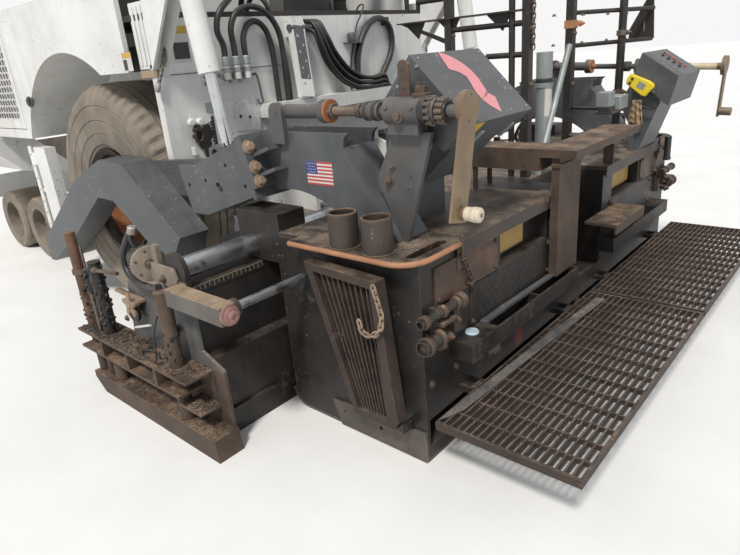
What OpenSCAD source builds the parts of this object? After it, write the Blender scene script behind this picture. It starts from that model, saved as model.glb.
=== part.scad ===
// Wheeled asphalt paver with a towed, extendable screed.
// x runs forward from the main screed's rear face, y to the left, z up from the ground.

/* [Main screed] */
// Width of the main screed
screed_w = 3050; // [2900:10:3080]
// Depth of the main screed, front to rear
screed_depth = 850; // [820:5:860]
// Height of the top of the deck
deck_z = 920; // [900:5:940]
// Thickness of the deck plates
deck_t = 20; // [12:1:25]
// Overhang of the deck past the end plate
deck_over = 75; // [68:1:82]
// Thickness of the screed's walls
wall_t = 20; // [12:1:25]
// Thickness of the sole plates that smooth the mat
sole_t = 14; // [10:1:20]
// Gap between the two halves at the crown joint
crown_gap = 10; // [4:1:20]

/* [Extensions] */
// Gap between the main screed and an extension
ext_gap = 30; // [15:1:40]
// Depth of an extension, front to rear
ext_depth = 460; // [400:5:480]
// Distance from the centre to the outer end of an extension as parked
ext_end = 1930; // [1925:5:1980]
// Length of an extension
ext_len = 1480; // [1300:10:1500]
// Height of an extension's lower box
ext_box_z = 420; // [380:5:440]
// Height of an extension's upper beam
ext_beam_z = 760; // [700:5:770]
// Radius of the bright guide tubes
tube_r = 50; // [35:1:55]
// Height of the guide tubes
tube_z = 835; // [828:1:845]
// Radius of the extension cylinder's rod
ext_rod_r = 20; // [14:1:24]

/* [End gates] */
// Length of an end gate
gate_len = 1160; // [1080:10:1180]
// Thickness of an end gate's plate
gate_t = 15; // [10:1:20]
// Width of the ski that an end gate runs on
ski_w = 135; // [110:5:140]
// Height of the ski
ski_h = 110; // [80:5:130]
// Height of the step on the end gate
gate_step_z = 385; // [350:5:400]
// Radius of the posts on the end gate
post_r = 27; // [20:1:30]

/* [Walkways and steps] */
// Distance from the screed's rear face to a walkway's rear edge
walkway_rear = 670; // [560:10:760]
// Distance from the screed's rear face to a walkway's hinge
walkway_hinge = 55; // [45:1:70]
// Height of the top of a walkway
walkway_z = 262; // [240:2:280]
// Depth of the walkway's bars
walkway_t = 35; // [25:1:40]
// Outer end of a walkway from the centre
walkway_end = 1570; // [1450:10:1600]
// Number of bars along a walkway
walkway_bars = 19; // [10:1:22]
// Height of the folding step on the screed's end
end_step_h = 670; // [600:10:680]
// Height of the folding step's hinge
end_step_z = 185; // [170:5:210]

/* [Tow arms] */
// Distance from the centre to a tow arm's inner face
arm_y = 1360; // [1358:1:1375]
// Width of a tow arm's box section
arm_w = 190; // [150:5:195]
// Thickness of the plate that joins a tow arm to the screed
link_t = 40; // [25:1:42]
// Distance of the tow point ahead of the screed's rear face
tow_x = 3900; // [3880:5:3950]
// Height of the tow point
tow_z = 395; // [370:5:420]
// Radius of the tow pin
tow_pin_r = 35; // [25:1:40]
// Height of the top of the screed bracket
bracket_z = 1350; // [1320:5:1370]

/* [Rear wheels] */
// Distance of the rear axle ahead of the screed's rear face
rear_x = 2850; // [2840:5:2880]
// Radius of a rear tyre over its lugs
rear_r = 800; // [770:5:810]
// Width of a rear tyre
rear_w = 500; // [440:5:510]
// Distance from the centre to a rear tyre's outer face
rear_y = 1300; // [1280:5:1305]
// Depth of the tyre's lugs
lug_h = 26; // [20:1:45]
// Number of lugs on each half of the tread
lug_n = 22; // [16:1:26]
// Radius of the rear rim under the tyre
rim_r = 350; // [320:5:370]

/* [Front bogies] */
// Distance of the bogie's pivot ahead of the screed's rear face
bogie_x = 5250; // [5200:10:5300]
// Spacing of the two wheels of a bogie
bogie_pitch = 700; // [680:5:740]
// Radius of a front tyre
front_r = 300; // [280:5:305]
// Width of a front tyre
front_w = 320; // [280:5:330]
// Distance from the centre to a front wheel's kingpin
kingpin_y = 760; // [755:1:770]
// Radius of a kingpin
kingpin_r = 25; // [18:1:30]

/* [Frame, conveyors and augers] */
// Half of the distance between the outer faces of the frame rails
rail_y = 570; // [560:2:575]
// Thickness of the frame rails
rail_t = 30; // [20:1:35]
// Height of the conveyor floor
floor_z = 660; // [650:2:670]
// Height of the top of the conveyor tunnel
tunnel_z = 1000; // [980:5:1015]
// Distance of the rear bulkhead ahead of the screed's rear face
bulkhead_x = 1950; // [1940:2:1960]
// Number of slats on each conveyor
slat_n = 14; // [8:1:18]
// Distance of the augers ahead of the screed's rear face
auger_x = 1605; // [1600:1:1615]
// Height of the augers
auger_z = 420; // [400:5:450]
// Radius of the auger flights
auger_r = 195; // [160:5:200]
// Radius of an auger shaft
auger_shaft_r = 45; // [30:1:50]

/* [Body and platform] */
// Half of the width of the body
body_y = 1335; // [1325:1:1345]
// Thickness of the body panels
panel_t = 30; // [15:1:35]
// Height of the top of the engine cover
body_z = 2150; // [2100:10:2200]
// Distance of the body's front wall ahead of the screed's rear face
body_front = 4750; // [4730:5:4755]
// Height of the platform's floor
platform_z = 1950; // [1940:5:1990]
// Height of the platform's railing above its floor
rail_h = 950; // [800:10:1050]
// Radius of the railing's tubes
rail_tube_r = 20; // [14:1:25]

/* [Hopper] */
// Distance of the hopper's front ahead of the screed's rear face
hopper_front = 6330; // [6250:10:6340]
// Distance from the centre to a hopper wing's hinge
wing_hinge_y = 600; // [598:1:610]
// Height of a hopper wing's hinge
wing_hinge_z = 750; // [745:1:760]
// Distance from the centre to a wing's outer edge
wing_y = 1600; // [1500:10:1650]
// Height of a wing's outer edge
wing_z = 1560; // [1450:10:1600]
// Thickness of the wing plates
wing_t = 16; // [10:1:20]
// Radius of a push roller
roller_r = 80; // [60:1:90]

/* [Lift cylinders] */
// Distance from the centre to a lift cylinder
lift_y = 1270; // [1265:1:1275]
// Distance of the lower eye ahead of the screed's rear face
lift_low_x = 1430; // [1420:1:1440]
// Height of the lower eye
lift_low_z = 1215; // [1205:1:1225]
// Distance of the upper pin ahead of the screed's rear face
lift_top_x = 1560; // [1550:1:1570]
// Height of the upper pin
lift_top_z = 2110; // [2090:2:2130]
// Radius of a lift cylinder's barrel
lift_r = 58; // [45:1:62]
// Radius of a lift cylinder's rod
lift_rod_r = 28; // [20:1:32]

/* [Hidden] */
$fn = 48;
fit = 0.3;
clear = 6;
eps = 0.01;

half_w = screed_w / 2;
walkway_hinges = [260, 1200];
walkway_pin_z = walkway_z - 17;
hinge_len = 60;
hinge_lug_t = 16;
step_pin_x0 = 62;
step_pin_x1 = 338;
ext_x0 = screed_depth + ext_gap;
ext_x1 = ext_x0 + ext_depth;
tube_x = ext_x0 + 120;
ext_rod_x = 625;
ext_rod_z = 742;
gate_x0 = 750;
gate_x1 = gate_x0 + gate_len;
roller_x = hopper_front + 290;
front_x = roller_x + roller_r;
mid_x = (front_x - walkway_rear) / 2;
wing_x0 = body_front + 20;
body_x0 = bulkhead_x + 250;
hood_x0 = 3100;
bulkhead_t = 60;
apron_x = hopper_front + 45;
body_in = body_y - panel_t;

// Basic shapes, all in the paver's own axes

module place() translate([-mid_x, 0, 0]) children();

module side(s) {
    if (s > 0) children();
    else mirror([0, 1, 0]) children();
}

module both() {
    children();
    mirror([0, 1, 0]) children();
}

module box(x, y, z)
    translate([x[0], y[0], z[0]]) cube([x[1] - x[0], y[1] - y[0], z[1] - z[0]]);

module xz(y0, y1) translate([0, y1, 0]) rotate([90, 0, 0]) linear_extrude(y1 - y0) children();

module yz(x0, x1) translate([x0, 0, 0]) rotate([90, 0, 90]) linear_extrude(x1 - x0) children();

module rod_y(x, z, y0, y1, r) translate([x, y0, z]) rotate([-90, 0, 0]) cylinder(h = y1 - y0, r = r);

module rod_x(y, z, x0, x1, r) translate([x0, y, z]) rotate([0, 90, 0]) cylinder(h = x1 - x0, r = r);

module rod_z(x, y, z0, z1, r) translate([x, y, z0]) cylinder(h = z1 - z0, r = r);

function arc(cx, cy, r, a0, a1, n) =
    [for (i = [0 : n]) [cx + r * cos(a0 + (a1 - a0) * i / n), cy + r * sin(a0 + (a1 - a0) * i / n)]];

// Tractor frame: rails, conveyor tunnel, bulkhead, hopper cross-beam, tow-point slides

auger_y0 = 60;
auger_y1 = 1240;
auger_beam_z = 640;
crossbeam_t = 55;
slide_x0 = tow_x - 110;
slide_x1 = tow_x + 110;
push_beam_x = hopper_front + 110;

module frame_rail() {
    xz(rail_y - rail_t, rail_y)
        polygon([[auger_x - 60, floor_z + 40], [auger_x - 60, tunnel_z - 150], [bulkhead_x, tunnel_z],
            [body_front, tunnel_z], [body_front + 50, wing_hinge_z - 35], [hopper_front, wing_hinge_z - 35],
            [hopper_front, 480], [3500, 480], [3400, 560], [bulkhead_x, 560], [bulkhead_x, floor_z + 40]]);
}

module bogie_bracket() box([bogie_x - 110, bogie_x + 110], [rail_y - rail_t, rail_y], [bogie_z - 70, 500]);

module auger_frame() color("dimgray") place() {
    difference() {
        union() {
            box([auger_x - 60, auger_x + 60], [-auger_y1 - 26, auger_y1 + 26], [auger_beam_z, floor_z + 40]);
            box([auger_x - 85, auger_x + 85], [-auger_y0 + 5, auger_y0 - 5],
                [auger_z - 110, auger_beam_z + 10]);
            both() box([auger_x - 60, auger_x + 60], [auger_y1 + clear, auger_y1 + 26],
                [auger_z - 70, floor_z]);
        }
        both() {
            rod_y(auger_x, auger_z, auger_y0 - 36, auger_y0, auger_shaft_r + fit);
            rod_y(auger_x, auger_z, auger_y1, auger_y1 + 40, auger_shaft_r + fit);
        }
    }
}

module tow_slides() color("whitesmoke") place() both() {
    difference() {
        box([slide_x0, slide_x1], [arm_y - 115, arm_y - 30], [300, 1150]);
        box([slide_x0 + 60, slide_x1 - 60], [arm_y - 120, arm_y - 60], [340, 1110]);
    }
    rod_y(tow_x, tow_z, arm_y - 35, arm_y + 70, tow_pin_r);
    box([slide_x0 + 40, slide_x1 - 40], [rail_y, arm_y - 110], [560, 680]);
    difference() {
        box([slide_x1 + 110, slide_x1 + 170], [arm_y - 60, arm_y - 48], [420, 1150]);
        for (i = [0 : 6])
            rod_y(slide_x1 + 140, 480 + i * 100, arm_y - 70, arm_y - 40, 14);
    }
    box([slide_x1 - 5, slide_x1 + 115], [arm_y - 60, arm_y - 48], [1000, 1100]);
}

module lift_bracket() {
    for (y = [lift_y - 50, lift_y + 34]) difference() {
        xz(y, y + 16)
            polygon([[bulkhead_x + 5, 1650], [bulkhead_x + 5, platform_z - 40],
                [bulkhead_x - 2, platform_z - 38],
                [bulkhead_x - 30, lift_top_z + 60], [lift_top_x - 60, lift_top_z + 60],
                [lift_top_x - 60, lift_top_z - 50], [lift_top_x + 75, lift_top_z - 50]]);
        rod_y(lift_top_x, lift_top_z, y - 1, y + 17, 25 + fit);
    }
}

module rear_bulkhead() color("whitesmoke") place() {
    difference() {
        box([bulkhead_x, bulkhead_x + bulkhead_t], [-rear_y, rear_y], [tunnel_z, platform_z - 30]);
        both() box([bulkhead_x - 1, bulkhead_x + bulkhead_t + 1], [rail_y + 1, rear_y + 1],
            [tunnel_z - 1, 1050]);
    }
    both() lift_bracket();
    difference() {
        box([bulkhead_x - shelf_w, bulkhead_x + 1], [-640, 620], [shelf_z - 88, shelf_z]);
        box([bulkhead_x - shelf_w + 8, bulkhead_x + 2], [-632, 612], [shelf_z - 89, shelf_z - 8]);
    }
    hose_manifold();
    lock_arm();
    difference() {
        box([bulkhead_x - 10, bulkhead_x + 1], [640, 1030], [1065, 1440]);
        for (y = [700, 784])
            rod_x(y, 1336, bulkhead_x - 11, bulkhead_x - fit, 9);
    }
}

shelf_w = 150;
shelf_z = 1392;

module hose_manifold() {
    box([bulkhead_x - 14, bulkhead_x + 1], [652, 1018], [1542, 1604]);
    for (y = [705, 783, 861]) {
        rod_x(y, 1580, bulkhead_x - 62, bulkhead_x - 13, 17);
        rod_z(bulkhead_x - 55, y, 1562, 1690, 20);
    }
}

// The perforated arm that the raised screed is locked with, hung from two ears
module lock_arm() {
    for (y = [192, 300])
        xz(y, y + 8) polygon([[bulkhead_x + 1, 1915], [bulkhead_x - 50, 1915], [bulkhead_x - 76, 1860],
            [bulkhead_x - 76, 1800], [bulkhead_x + 1, 1785]]);
    translate([bulkhead_x - 45, 250, 1862]) rotate([7, 12, 0]) difference() {
        box([-25, 25], [-55, 55], [-476, 0]);
        box([-17, 26], [-47, 47], [-477, 1]);
        for (i = [0 : 6])
            rod_x(i % 2 == 0 ? 18 : -18, -80 - i * 52, -27, -10, 9);
    }
}

module push_beam() color("whitesmoke") place() {
    box([push_beam_x - 5, push_beam_x + 80], [-1120, 1120], [roller_z - 70, roller_z + 70]);
    box([hopper_front + crossbeam_t, push_beam_x], [-150, 150], [roller_z - 10, roller_z + 60]);
    for (y = [-1115, -45, 25, 1095])
        xz(y, y + 20) difference() {
            union() {
                translate([push_beam_x + 70, roller_z - 50]) square([roller_x - push_beam_x - 70, 100]);
                translate([roller_x, roller_z]) circle(r = 50);
            }
            translate([roller_x, roller_z]) circle(r = 22 + fit);
        }
}

module hopper_crossbeam() color("whitesmoke") place() {
    box([hopper_front, hopper_front + crossbeam_t], [-1250, 1250], [roller_z - 10, floor_z + 30]);
    both() apron_lug();
}

roller_z = 500;

module chassis() color("whitesmoke") place() {
    both() frame_rail();
    box([bulkhead_x, body_front], [-rail_y + 5, rail_y - 5], [tunnel_z - 15, tunnel_z]);
    box([1860, hopper_front], [-rail_y + 5, rail_y - 5], [floor_z - 20, floor_z]);
    box([4600, hopper_front], [-40, 40], [floor_z - 5, floor_z + 90]);
    both() {
        bogie_bracket();
        wing_lugs();
    }
}

module wing_lugs() {
    for (x = [wing_x0 + 60, (wing_x0 + hopper_front) / 2, hopper_front - 120])
        difference() {
            union() {
                box([x, x + 50], [rail_y - rail_t, wing_hinge_y], [wing_hinge_z - 60, wing_hinge_z + 22]);
                rod_x(wing_hinge_y, wing_hinge_z, x, x + 50, 22);
            }
            rod_x(wing_hinge_y, wing_hinge_z, x - 1, x + 51, 12 + fit);
        }
}

module apron_lug() {
    difference() {
        union() {
            box([apron_x - 15, apron_x + 10], [480, 500], [floor_z + 25, 715]);
            rod_y(apron_x, 715, 480, 500, 15);
        }
        rod_y(apron_x, 715, 479, 501, 8 + fit);
    }
}

// Body: side panels with wheel arches, hood, front wall

arch_r = rear_r + 140;
arch_x = rear_x + 230;
arch_z = rear_r + 70;
door_x0 = 4010;
door_x1 = body_front - 40;
door_z0 = 1290;
door_z1 = body_z - 60;

module body_side_outline() {
    difference() {
        polygon([[body_x0, 1650], [body_x0, body_z], [body_front, body_z], [body_front, 1220],
            [arch_x, 1220], [arch_x, 1650]]);
        translate([arch_x, arch_z]) circle(r = arch_r, $fn = 96);
    }
}

module engine_housing() color("white") place() {
    both() {
        difference() {
            xz(body_in, body_y) body_side_outline();
            box([door_x0, door_x1], [body_in - 1, body_y + 1], [door_z0, door_z1]);
        }
        door_hinge_pins();
        xz(rear_y - rear_w - 75, body_in + eps)
            difference() {
                intersection() {
                    translate([arch_x, arch_z]) circle(r = arch_r + 15, $fn = 96);
                    union() {
                        translate([body_x0, 1650]) square([arch_x - body_x0, 400]);
                        translate([arch_x, 1220]) square([body_front - arch_x, 800]);
                    }
                }
                translate([arch_x, arch_z]) circle(r = arch_r, $fn = 96);
            }
        xz(rear_y - rear_w - 75, rear_y - rear_w - 60)
            polygon([[bulkhead_x + bulkhead_t, tunnel_z], [bulkhead_x + bulkhead_t, platform_z - 30],
                [hood_x0, platform_z - 30], [hood_x0, body_z - 30], [body_front - 20, body_z - 30],
                [body_front - 20, 1220], [3900, 1220], [3900, tunnel_z]]);
    }
    box([hood_x0, body_front], [-body_in - eps, body_in + eps], [body_z - 30, body_z]);
    box([body_front - 20, body_front], [-body_in - eps, body_in + eps], [1220, body_z - 20]);
    box([body_front - 20, body_front], [-rail_y, rail_y], [tunnel_z, 1230]);
    box([hood_x0, hood_x0 + 20], [-body_in - eps, body_in + eps], [platform_z, body_z - 20]);
    rod_z(4300, -700, body_z - 5, body_z + 450, 60);
}

door_pin_x = door_x1 + 6;
door_pin_y = body_y + 14;

module door_hinge_pins() {
    for (z = [door_z0 + 100, door_z1 - 180]) {
        rod_z(door_pin_x, door_pin_y, z - 20, z + 80, 7);
        box([door_pin_x - 6, door_pin_x + 14], [body_y - 5, door_pin_y + 7], [z - 20, z - 1]);
    }
}

cells = 9;
cell = (door_x1 - door_x0 - 170) / cells;
cell_rows = floor((door_z1 - door_z0 - 160) / (cell * 0.87));

module hexagon(r) polygon([for (k = [0 : 5]) r * [sin(60 * k), cos(60 * k)]]);

module door_frame(s) {
    side(s) place() {
        for (z = [door_z0 + 100, door_z1 - 180]) {
            difference() {
                rod_z(door_pin_x, door_pin_y, z, z + 80, 13);
                rod_z(door_pin_x, door_pin_y, z - 1, z + 81, 7 + fit);
            }
            box([door_pin_x - 60, door_pin_x - 9], [body_y - 1, body_y + 8], [z, z + 80]);
        }
        difference() {
            box([door_x0 + clear, door_x1 - clear], [body_in + 4, body_y],
                [door_z0 + clear, door_z1 - clear]);
            box([door_x0 + 70, door_x1 - 70], [body_in, body_y + 1], [door_z0 + 70, door_z1 - 70]);
        }
        difference() {
            box([door_x0 + 65, door_x1 - 65], [body_in + 10, body_in + 16], [door_z0 + 65, door_z1 - 65]);
            xz(body_in + 9, body_in + 17)
                for (i = [0 : cells - 1]) for (j = [0 : cell_rows - 1])
                    translate([door_x0 + 100 + i * cell, door_z0 + 104 + j * cell * 0.87])
                        translate([(j % 2) * cell / 2, 0]) hexagon(cell * 0.5);
        }
    }
}

module engine_door_left() color("white") door_frame(1);

module engine_door_right() color("white") door_frame(-1);

module engine() color("dimgray") place() box([3300, 4500], [-400, 400], [tunnel_z, 1900]);

// Operators' platform, seats and consoles

seat_x = 2480;
seat_y = 820;

module platform() color("white") place()
    box([bulkhead_x, hood_x0 - clear], [-body_in + 1, body_in - 1], [platform_z - 30, platform_z]);

rail_x0 = bulkhead_x + 40;
rail_x1 = hood_x0 - 60;
rear_rail_y = 1100;

module railings() color("white") place() {
    both() {
        for (x = [rail_x0, rail_x1])
            rod_z(x, body_in - 45, platform_z, platform_z + rail_h, rail_tube_r);
        for (z = [platform_z + rail_h / 2, platform_z + rail_h])
            rod_x(body_in - 45, z, rail_x0, rail_x1, rail_tube_r);
        rod_z(rail_x0, rear_rail_y, platform_z, platform_z + rail_h, rail_tube_r);
    }
    for (z = [platform_z + rail_h / 2, platform_z + rail_h])
        rod_y(rail_x0, z, -rear_rail_y, rear_rail_y, rail_tube_r);
    for (y = [-850, 850]) {
        rod_z(rail_x0, y, platform_z + rail_h - 130, platform_z + rail_h, 10);
        rod_x(y, platform_z + rail_h - 130, rail_x0 - 50, rail_x0 + 30, 62);
    }
}

module seats() color("black") place() both() {
    rod_z(seat_x, seat_y, platform_z, platform_z + 250, 60);
    box([seat_x - 230, seat_x + 230], [seat_y - 230, seat_y + 230], [platform_z + 245, platform_z + 370]);
    box([seat_x - 230, seat_x - 120], [seat_y - 220, seat_y + 220], [platform_z + 360, platform_z + 850]);
}

module consoles() color("gray") place() both() {
    xz(seat_y - 280, seat_y + 280)
        polygon([[hood_x0 - 200, platform_z], [hood_x0 - 280, platform_z + 500],
            [hood_x0 - 60, platform_z + 620],
            [hood_x0 - 40, platform_z]]);
    translate([hood_x0 - 300, seat_y, platform_z + 640]) rotate([0, -25, 0]) {
        rotate_extrude() translate([185, 0]) circle(r = 14, $fn = 16);
        for (a = [0, 120, 240])
            rotate([0, 0, a]) box([0, 180], [-12, 12], [-6, 6]);
        rod_z(0, 0, -260, 12, 28);
    }
}

// Axles, rear wheels and front bogies

spindle_r = 60;
rim_face = rear_y - 200;

module axles() color("dimgray") place() both() {
    rod_y(rear_x, rear_r, rail_y, rail_y + 60, 170);
    rod_y(rear_x, rear_r, rail_y, rim_face - 30, 110);
    rod_y(rear_x, rear_r, rim_face - 35, rim_face + 90, spindle_r);
    bogie_beam();
}

bogie_z = front_r + 115;

module bogie_beam() {
    rod_y(bogie_x, bogie_z, rail_y, kingpin_y - 60, 60);
    difference() {
        union() {
            box([bogie_x - bogie_pitch / 2 - 55, bogie_x + bogie_pitch / 2 + 55],
                [kingpin_y - 140, kingpin_y - 80], [bogie_z - 60, bogie_z + 60]);
            for (x = [bogie_x - bogie_pitch / 2, bogie_x + bogie_pitch / 2]) {
                box([x - 45, x + 45], [kingpin_y - 85, kingpin_y], [bogie_z - 35, bogie_z + 35]);
                rod_z(x, kingpin_y, bogie_z - 35, bogie_z + 35, 45);
            }
        }
        for (x = [bogie_x - bogie_pitch / 2, bogie_x + bogie_pitch / 2])
            rod_z(x, kingpin_y, bogie_z - 100, bogie_z + 100, kingpin_r + fit);
    }
}

front_hub_r = 35;
front_in = kingpin_y + 70;

module knuckle(x) {
    box([x - 50, x + 50], [kingpin_y - 50, kingpin_y + 50], [front_r - 55, bogie_z - 36]);
    rod_z(x, kingpin_y, bogie_z - 40, bogie_z + 55, kingpin_r);
    rod_z(x, kingpin_y, bogie_z + 36, bogie_z + 60, kingpin_r + 15);
    rod_y(x, front_r, kingpin_y + 45, front_in + front_w - 60, front_hub_r);
}

module front_wheel(x) {
    translate([x, front_in, front_r]) rotate([-90, 0, 0]) rotate_extrude($fn = 72)
        polygon([[front_hub_r + fit, 60], [front_hub_r + fit, front_w - 80], [90, front_w - 80], [90, 190],
            [190, 190], [190, front_w - 8], [front_r - 20, front_w], [front_r, front_w - 25],
            [front_r, 25], [front_r - 20, 0], [190, 8], [190, 130], [90, 130], [90, 60]]);
}

bogie_front = bogie_x + bogie_pitch / 2;
bogie_rear = bogie_x - bogie_pitch / 2;

module knuckle_front_left() color("dimgray") place() knuckle(bogie_front);

module knuckle_rear_left() color("dimgray") place() knuckle(bogie_rear);

module knuckle_front_right() color("dimgray") place() side(-1) knuckle(bogie_front);

module knuckle_rear_right() color("dimgray") place() side(-1) knuckle(bogie_rear);

module wheel_front_left() color("darkslategray") place() front_wheel(bogie_front);

module wheel_rear_left() color("darkslategray") place() front_wheel(bogie_rear);

module wheel_front_right() color("darkslategray") place() side(-1) front_wheel(bogie_front);

module wheel_rear_right() color("darkslategray") place() side(-1) front_wheel(bogie_rear);

module at_rear_hub() translate([rear_x, rear_y - rear_w, rear_r]) rotate([-90, 0, 0]) children();

module rear_tyre(s) {
    carcass_r = rear_r - lug_h;
    place() side(s) at_rear_hub() union() {
        rotate_extrude($fn = 96)
            polygon(concat([[rim_r, 60]], arc(rim_r + 150, 120, 120, 200, 270, 4),
                arc(carcass_r - 90, 105, 90, -80, 0, 5), arc(carcass_r - 90, rear_w - 105, 90, 0, 80, 5),
                arc(rim_r + 150, rear_w - 120, 120, 90, 160, 4), [[rim_r, rear_w - 60]]));
        for (h = [0, 1]) for (i = [0 : lug_n - 1])
            rotate([0, 0, 90 + (i + h / 2) * 360 / lug_n]) intersection() {
                translate([0, 0, h * rear_w / 2]) rotate([h == 0 ? -14 : 14, 0, 0])
                    translate([carcass_r - 25, -28, -20]) cube([80, 56, rear_w / 2 + 15]);
                translate([0, 0, 25]) cylinder(h = rear_w - 50, r = rear_r, $fn = 96);
            }
    }
}

module rear_rim(s) {
    d = rim_face - (rear_y - rear_w);
    r = rim_r - fit;
    place() side(s) at_rear_hub() rotate_extrude($fn = 72)
        polygon([[spindle_r + fit, d], [spindle_r + fit, d + 80], [150, d + 80], [170, d + 22],
            [r - 20, d + 22],
            [r - 20, rear_w - 45], [r + 20, rear_w - 18], [r + 20, rear_w - 28], [r, rear_w - 42],
            [r, 42], [r + 20, 28], [r + 20, 18], [r - 20, 45], [r - 20, d]]);
}

module rear_tyre_left() color("#2b2b2b") rear_tyre(1);

module rear_tyre_right() color("#2b2b2b") rear_tyre(-1);

module rear_rim_left() color("sienna") rear_rim(1);

module rear_rim_right() color("sienna") rear_rim(-1);

// Hopper, conveyors and augers

function wing_path() = [[wing_hinge_y + 40, wing_hinge_z + 10], [1180, wing_hinge_z + 130],
    [wing_y - 40, wing_hinge_z + 500], [wing_y, wing_z]];

module wing_shell_outline() {
    p = wing_path();
    polygon(concat(p, [for (i = [3 : -1 : 0]) [p[i][0] - wing_t, p[i][1] + wing_t]]));
}

module hopper_wing(s) {
    p = wing_path();
    place() side(s) {
        yz(wing_x0, hopper_front) wing_shell_outline();
        for (x = [wing_x0, hopper_front - wing_t])
            yz(x, x + wing_t) polygon(concat(p, [[wing_y - 160, wing_z]]));
        for (x = [wing_x0 + 120, (wing_x0 + hopper_front) / 2 + 60, hopper_front - 240]) {
            box([x, x + 90], [wing_hinge_y, wing_hinge_y + 60], [wing_hinge_z - 8, wing_hinge_z + 22]);
            rod_x(wing_hinge_y, wing_hinge_z, x, x + 90, 22);
        }
        rod_x(wing_hinge_y, wing_hinge_z, wing_x0, hopper_front, 12);
    }
}

module hopper_wing_left() color("whitesmoke") hopper_wing(1);

module hopper_wing_right() color("whitesmoke") hopper_wing(-1);

module hopper_apron() color("dimgray") place() {
    translate([apron_x, 0, 715]) rotate([0, 25, 0]) {
        box([-8, 8], [-470, 470], [-8, 300]);
        rod_y(0, 0, -505, 505, 8);
    }
}

module conveyors() color("dimgray") place() both() {
    for (y = [80, 460])
        box([1900, hopper_front - 20], [y, y + 40], [floor_z, floor_z + 25]);
    for (i = [0 : slat_n - 1])
        translate([1960 + i * (hopper_front - 2060) / (slat_n - 1), 0, 0])
            box([0, 50], [75, 505], [floor_z, floor_z + 45]);
}

module push_roller(s) {
    place() side(s) {
        rod_y(roller_x, roller_z, 60, 1080, roller_r);
        rod_y(roller_x, roller_z, 25, 1115, 22);
    }
}

module push_roller_left() color("silver") push_roller(1);

module push_roller_right() color("silver") push_roller(-1);

// One flight of an auger as a swept band, n rings round the shaft
module flight(r0, r1, len, turns, n) {
    t = 7;
    pts = [for (i = [0 : n]) for (c = [[r0, -t], [r1, -t], [r1, t], [r0, t]])
        [c[0] * cos(360 * turns * i / n), c[0] * sin(360 * turns * i / n), len * i / n + c[1]]];
    walls = [for (i = [0 : n - 1]) for (j = [0 : 3]) let (a = 4 * i + j, b = 4 * i + (j + 1) % 4)
        for (f = [[a, b, b + 4], [a, b + 4, a + 4]]) f];
    ends = [[4 * n, 4 * n + 1, 4 * n + 2], [4 * n, 4 * n + 2, 4 * n + 3]];
    faces = concat([[3, 2, 1], [3, 1, 0]], ends, walls);
    polyhedron(points = pts, faces = faces, convexity = 10);
}

module auger(s) {
    place() side(s) translate([auger_x, 0, auger_z]) rotate([-90, 0, 0]) {
        translate([0, 0, auger_y0 - 5 - 30]) cylinder(h = auger_y1 + 26 - auger_y0 + 35, r = auger_shaft_r);
        translate([0, 0, auger_y0 + 20]) flight(auger_shaft_r - 8, auger_r, auger_y1 - auger_y0 - 40, 3, 54);
    }
}

module auger_left() color("saddlebrown") auger(1);

module auger_right() color("saddlebrown") auger(-1);

// Tow arms: an arched box outside the rear tyre, a link of two plates and a bolted flange

flange_x = 930;
flange_z = 1073;
flange_tilt = 18;
flange_h = 270;
flange_t = 25;
arm_out = 1490;
lift_ear_r = 48;
lift_eye_r = 42;

// Children are drawn with x along the link from the flange and z up the flange
module along_link() translate([flange_x, 0, flange_z]) rotate([0, flange_tilt, 0]) children();

module link_outline() {
    polygon([[0, 0], [480, 0], [620, 40], [600, 300], [470, 260], [0, flange_h]]);
}

module lift_ears() {
    for (y = [[arm_y - link_t, arm_y], [lift_y - 52, lift_y - 30]])
        xz(y[0], y[1]) difference() {
            union() {
                translate([lift_low_x, lift_low_z]) circle(r = lift_ear_r);
                translate([lift_low_x - lift_ear_r, lift_low_z - 130]) square([2 * lift_ear_r, 130]);
            }
            translate([lift_low_x, lift_low_z]) circle(r = 28);
        }
    box([lift_low_x - lift_ear_r, lift_low_x + lift_ear_r], [lift_y - 52, arm_y - link_t + 1],
        [lift_low_z - 130, lift_low_z - 80]);
}

module tow_arms() color("#33363a") place() both() {
    xz(arm_y, arm_y + arm_w)
        polygon([[1620, 780], [2110, 1160], [2390, 1170], [2820, 1010], [3640, tow_z + 95],
            [3640, tow_z - 75], [3560, tow_z - 75], [2970, 640], [2520, 925], [2320, 920], [1790, 570]]);
    xz(arm_y, arm_y + 50) difference() {
        union() {
            translate([3620, tow_z - 75]) square([tow_x - 3620, 150]);
            translate([tow_x, tow_z]) circle(r = 75);
        }
        translate([tow_x, tow_z]) circle(r = tow_pin_r + fit);
    }
    xz(arm_y - link_t, arm_y + 1)
        polygon([[1400, 960], [1400, 1180], [1600, 1180], [2300, 1130], [2300, 960]]);
    along_link() {
        difference() {
            xz(arm_out - 30, arm_out) link_outline();
            for (h = [[90, 60], [190, 190], [400, 165], [560, 180]])
                rod_y(h[0], h[1], arm_out - 31, arm_out + 1, 11);
            xz(arm_out - 31, arm_out + 1) for (a = [-12, 12])
                translate([300 + a / 2, 105 + a]) circle(r = 17);
        }
        xz(arm_y - link_t, arm_y) link_outline();
        box([0, flange_t], [arm_y - link_t - 30, arm_out + 25], [-15, flange_h + 10]);
        box([5, 480], [arm_y - 5, arm_out - 25], [0, 20]);
        box([5, 460], [arm_y - 5, arm_out - 25], [235, 255]);
    }
    lift_ears();
}

// Screed brackets: flag plate, its flange, the ribs and the inner plate

module flag_outline() {
    difference() {
        polygon([[190, deck_z], [455, bracket_z - 60], [448, bracket_z - 20], [425, bracket_z],
            [flange_x + 5, bracket_z], [flange_x + 73, bracket_z - 20], [flange_x - 10, 1076],
            [flange_x - 10, deck_z]]);
        translate([800, 590]) circle(r = 500);
    }
}

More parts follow.
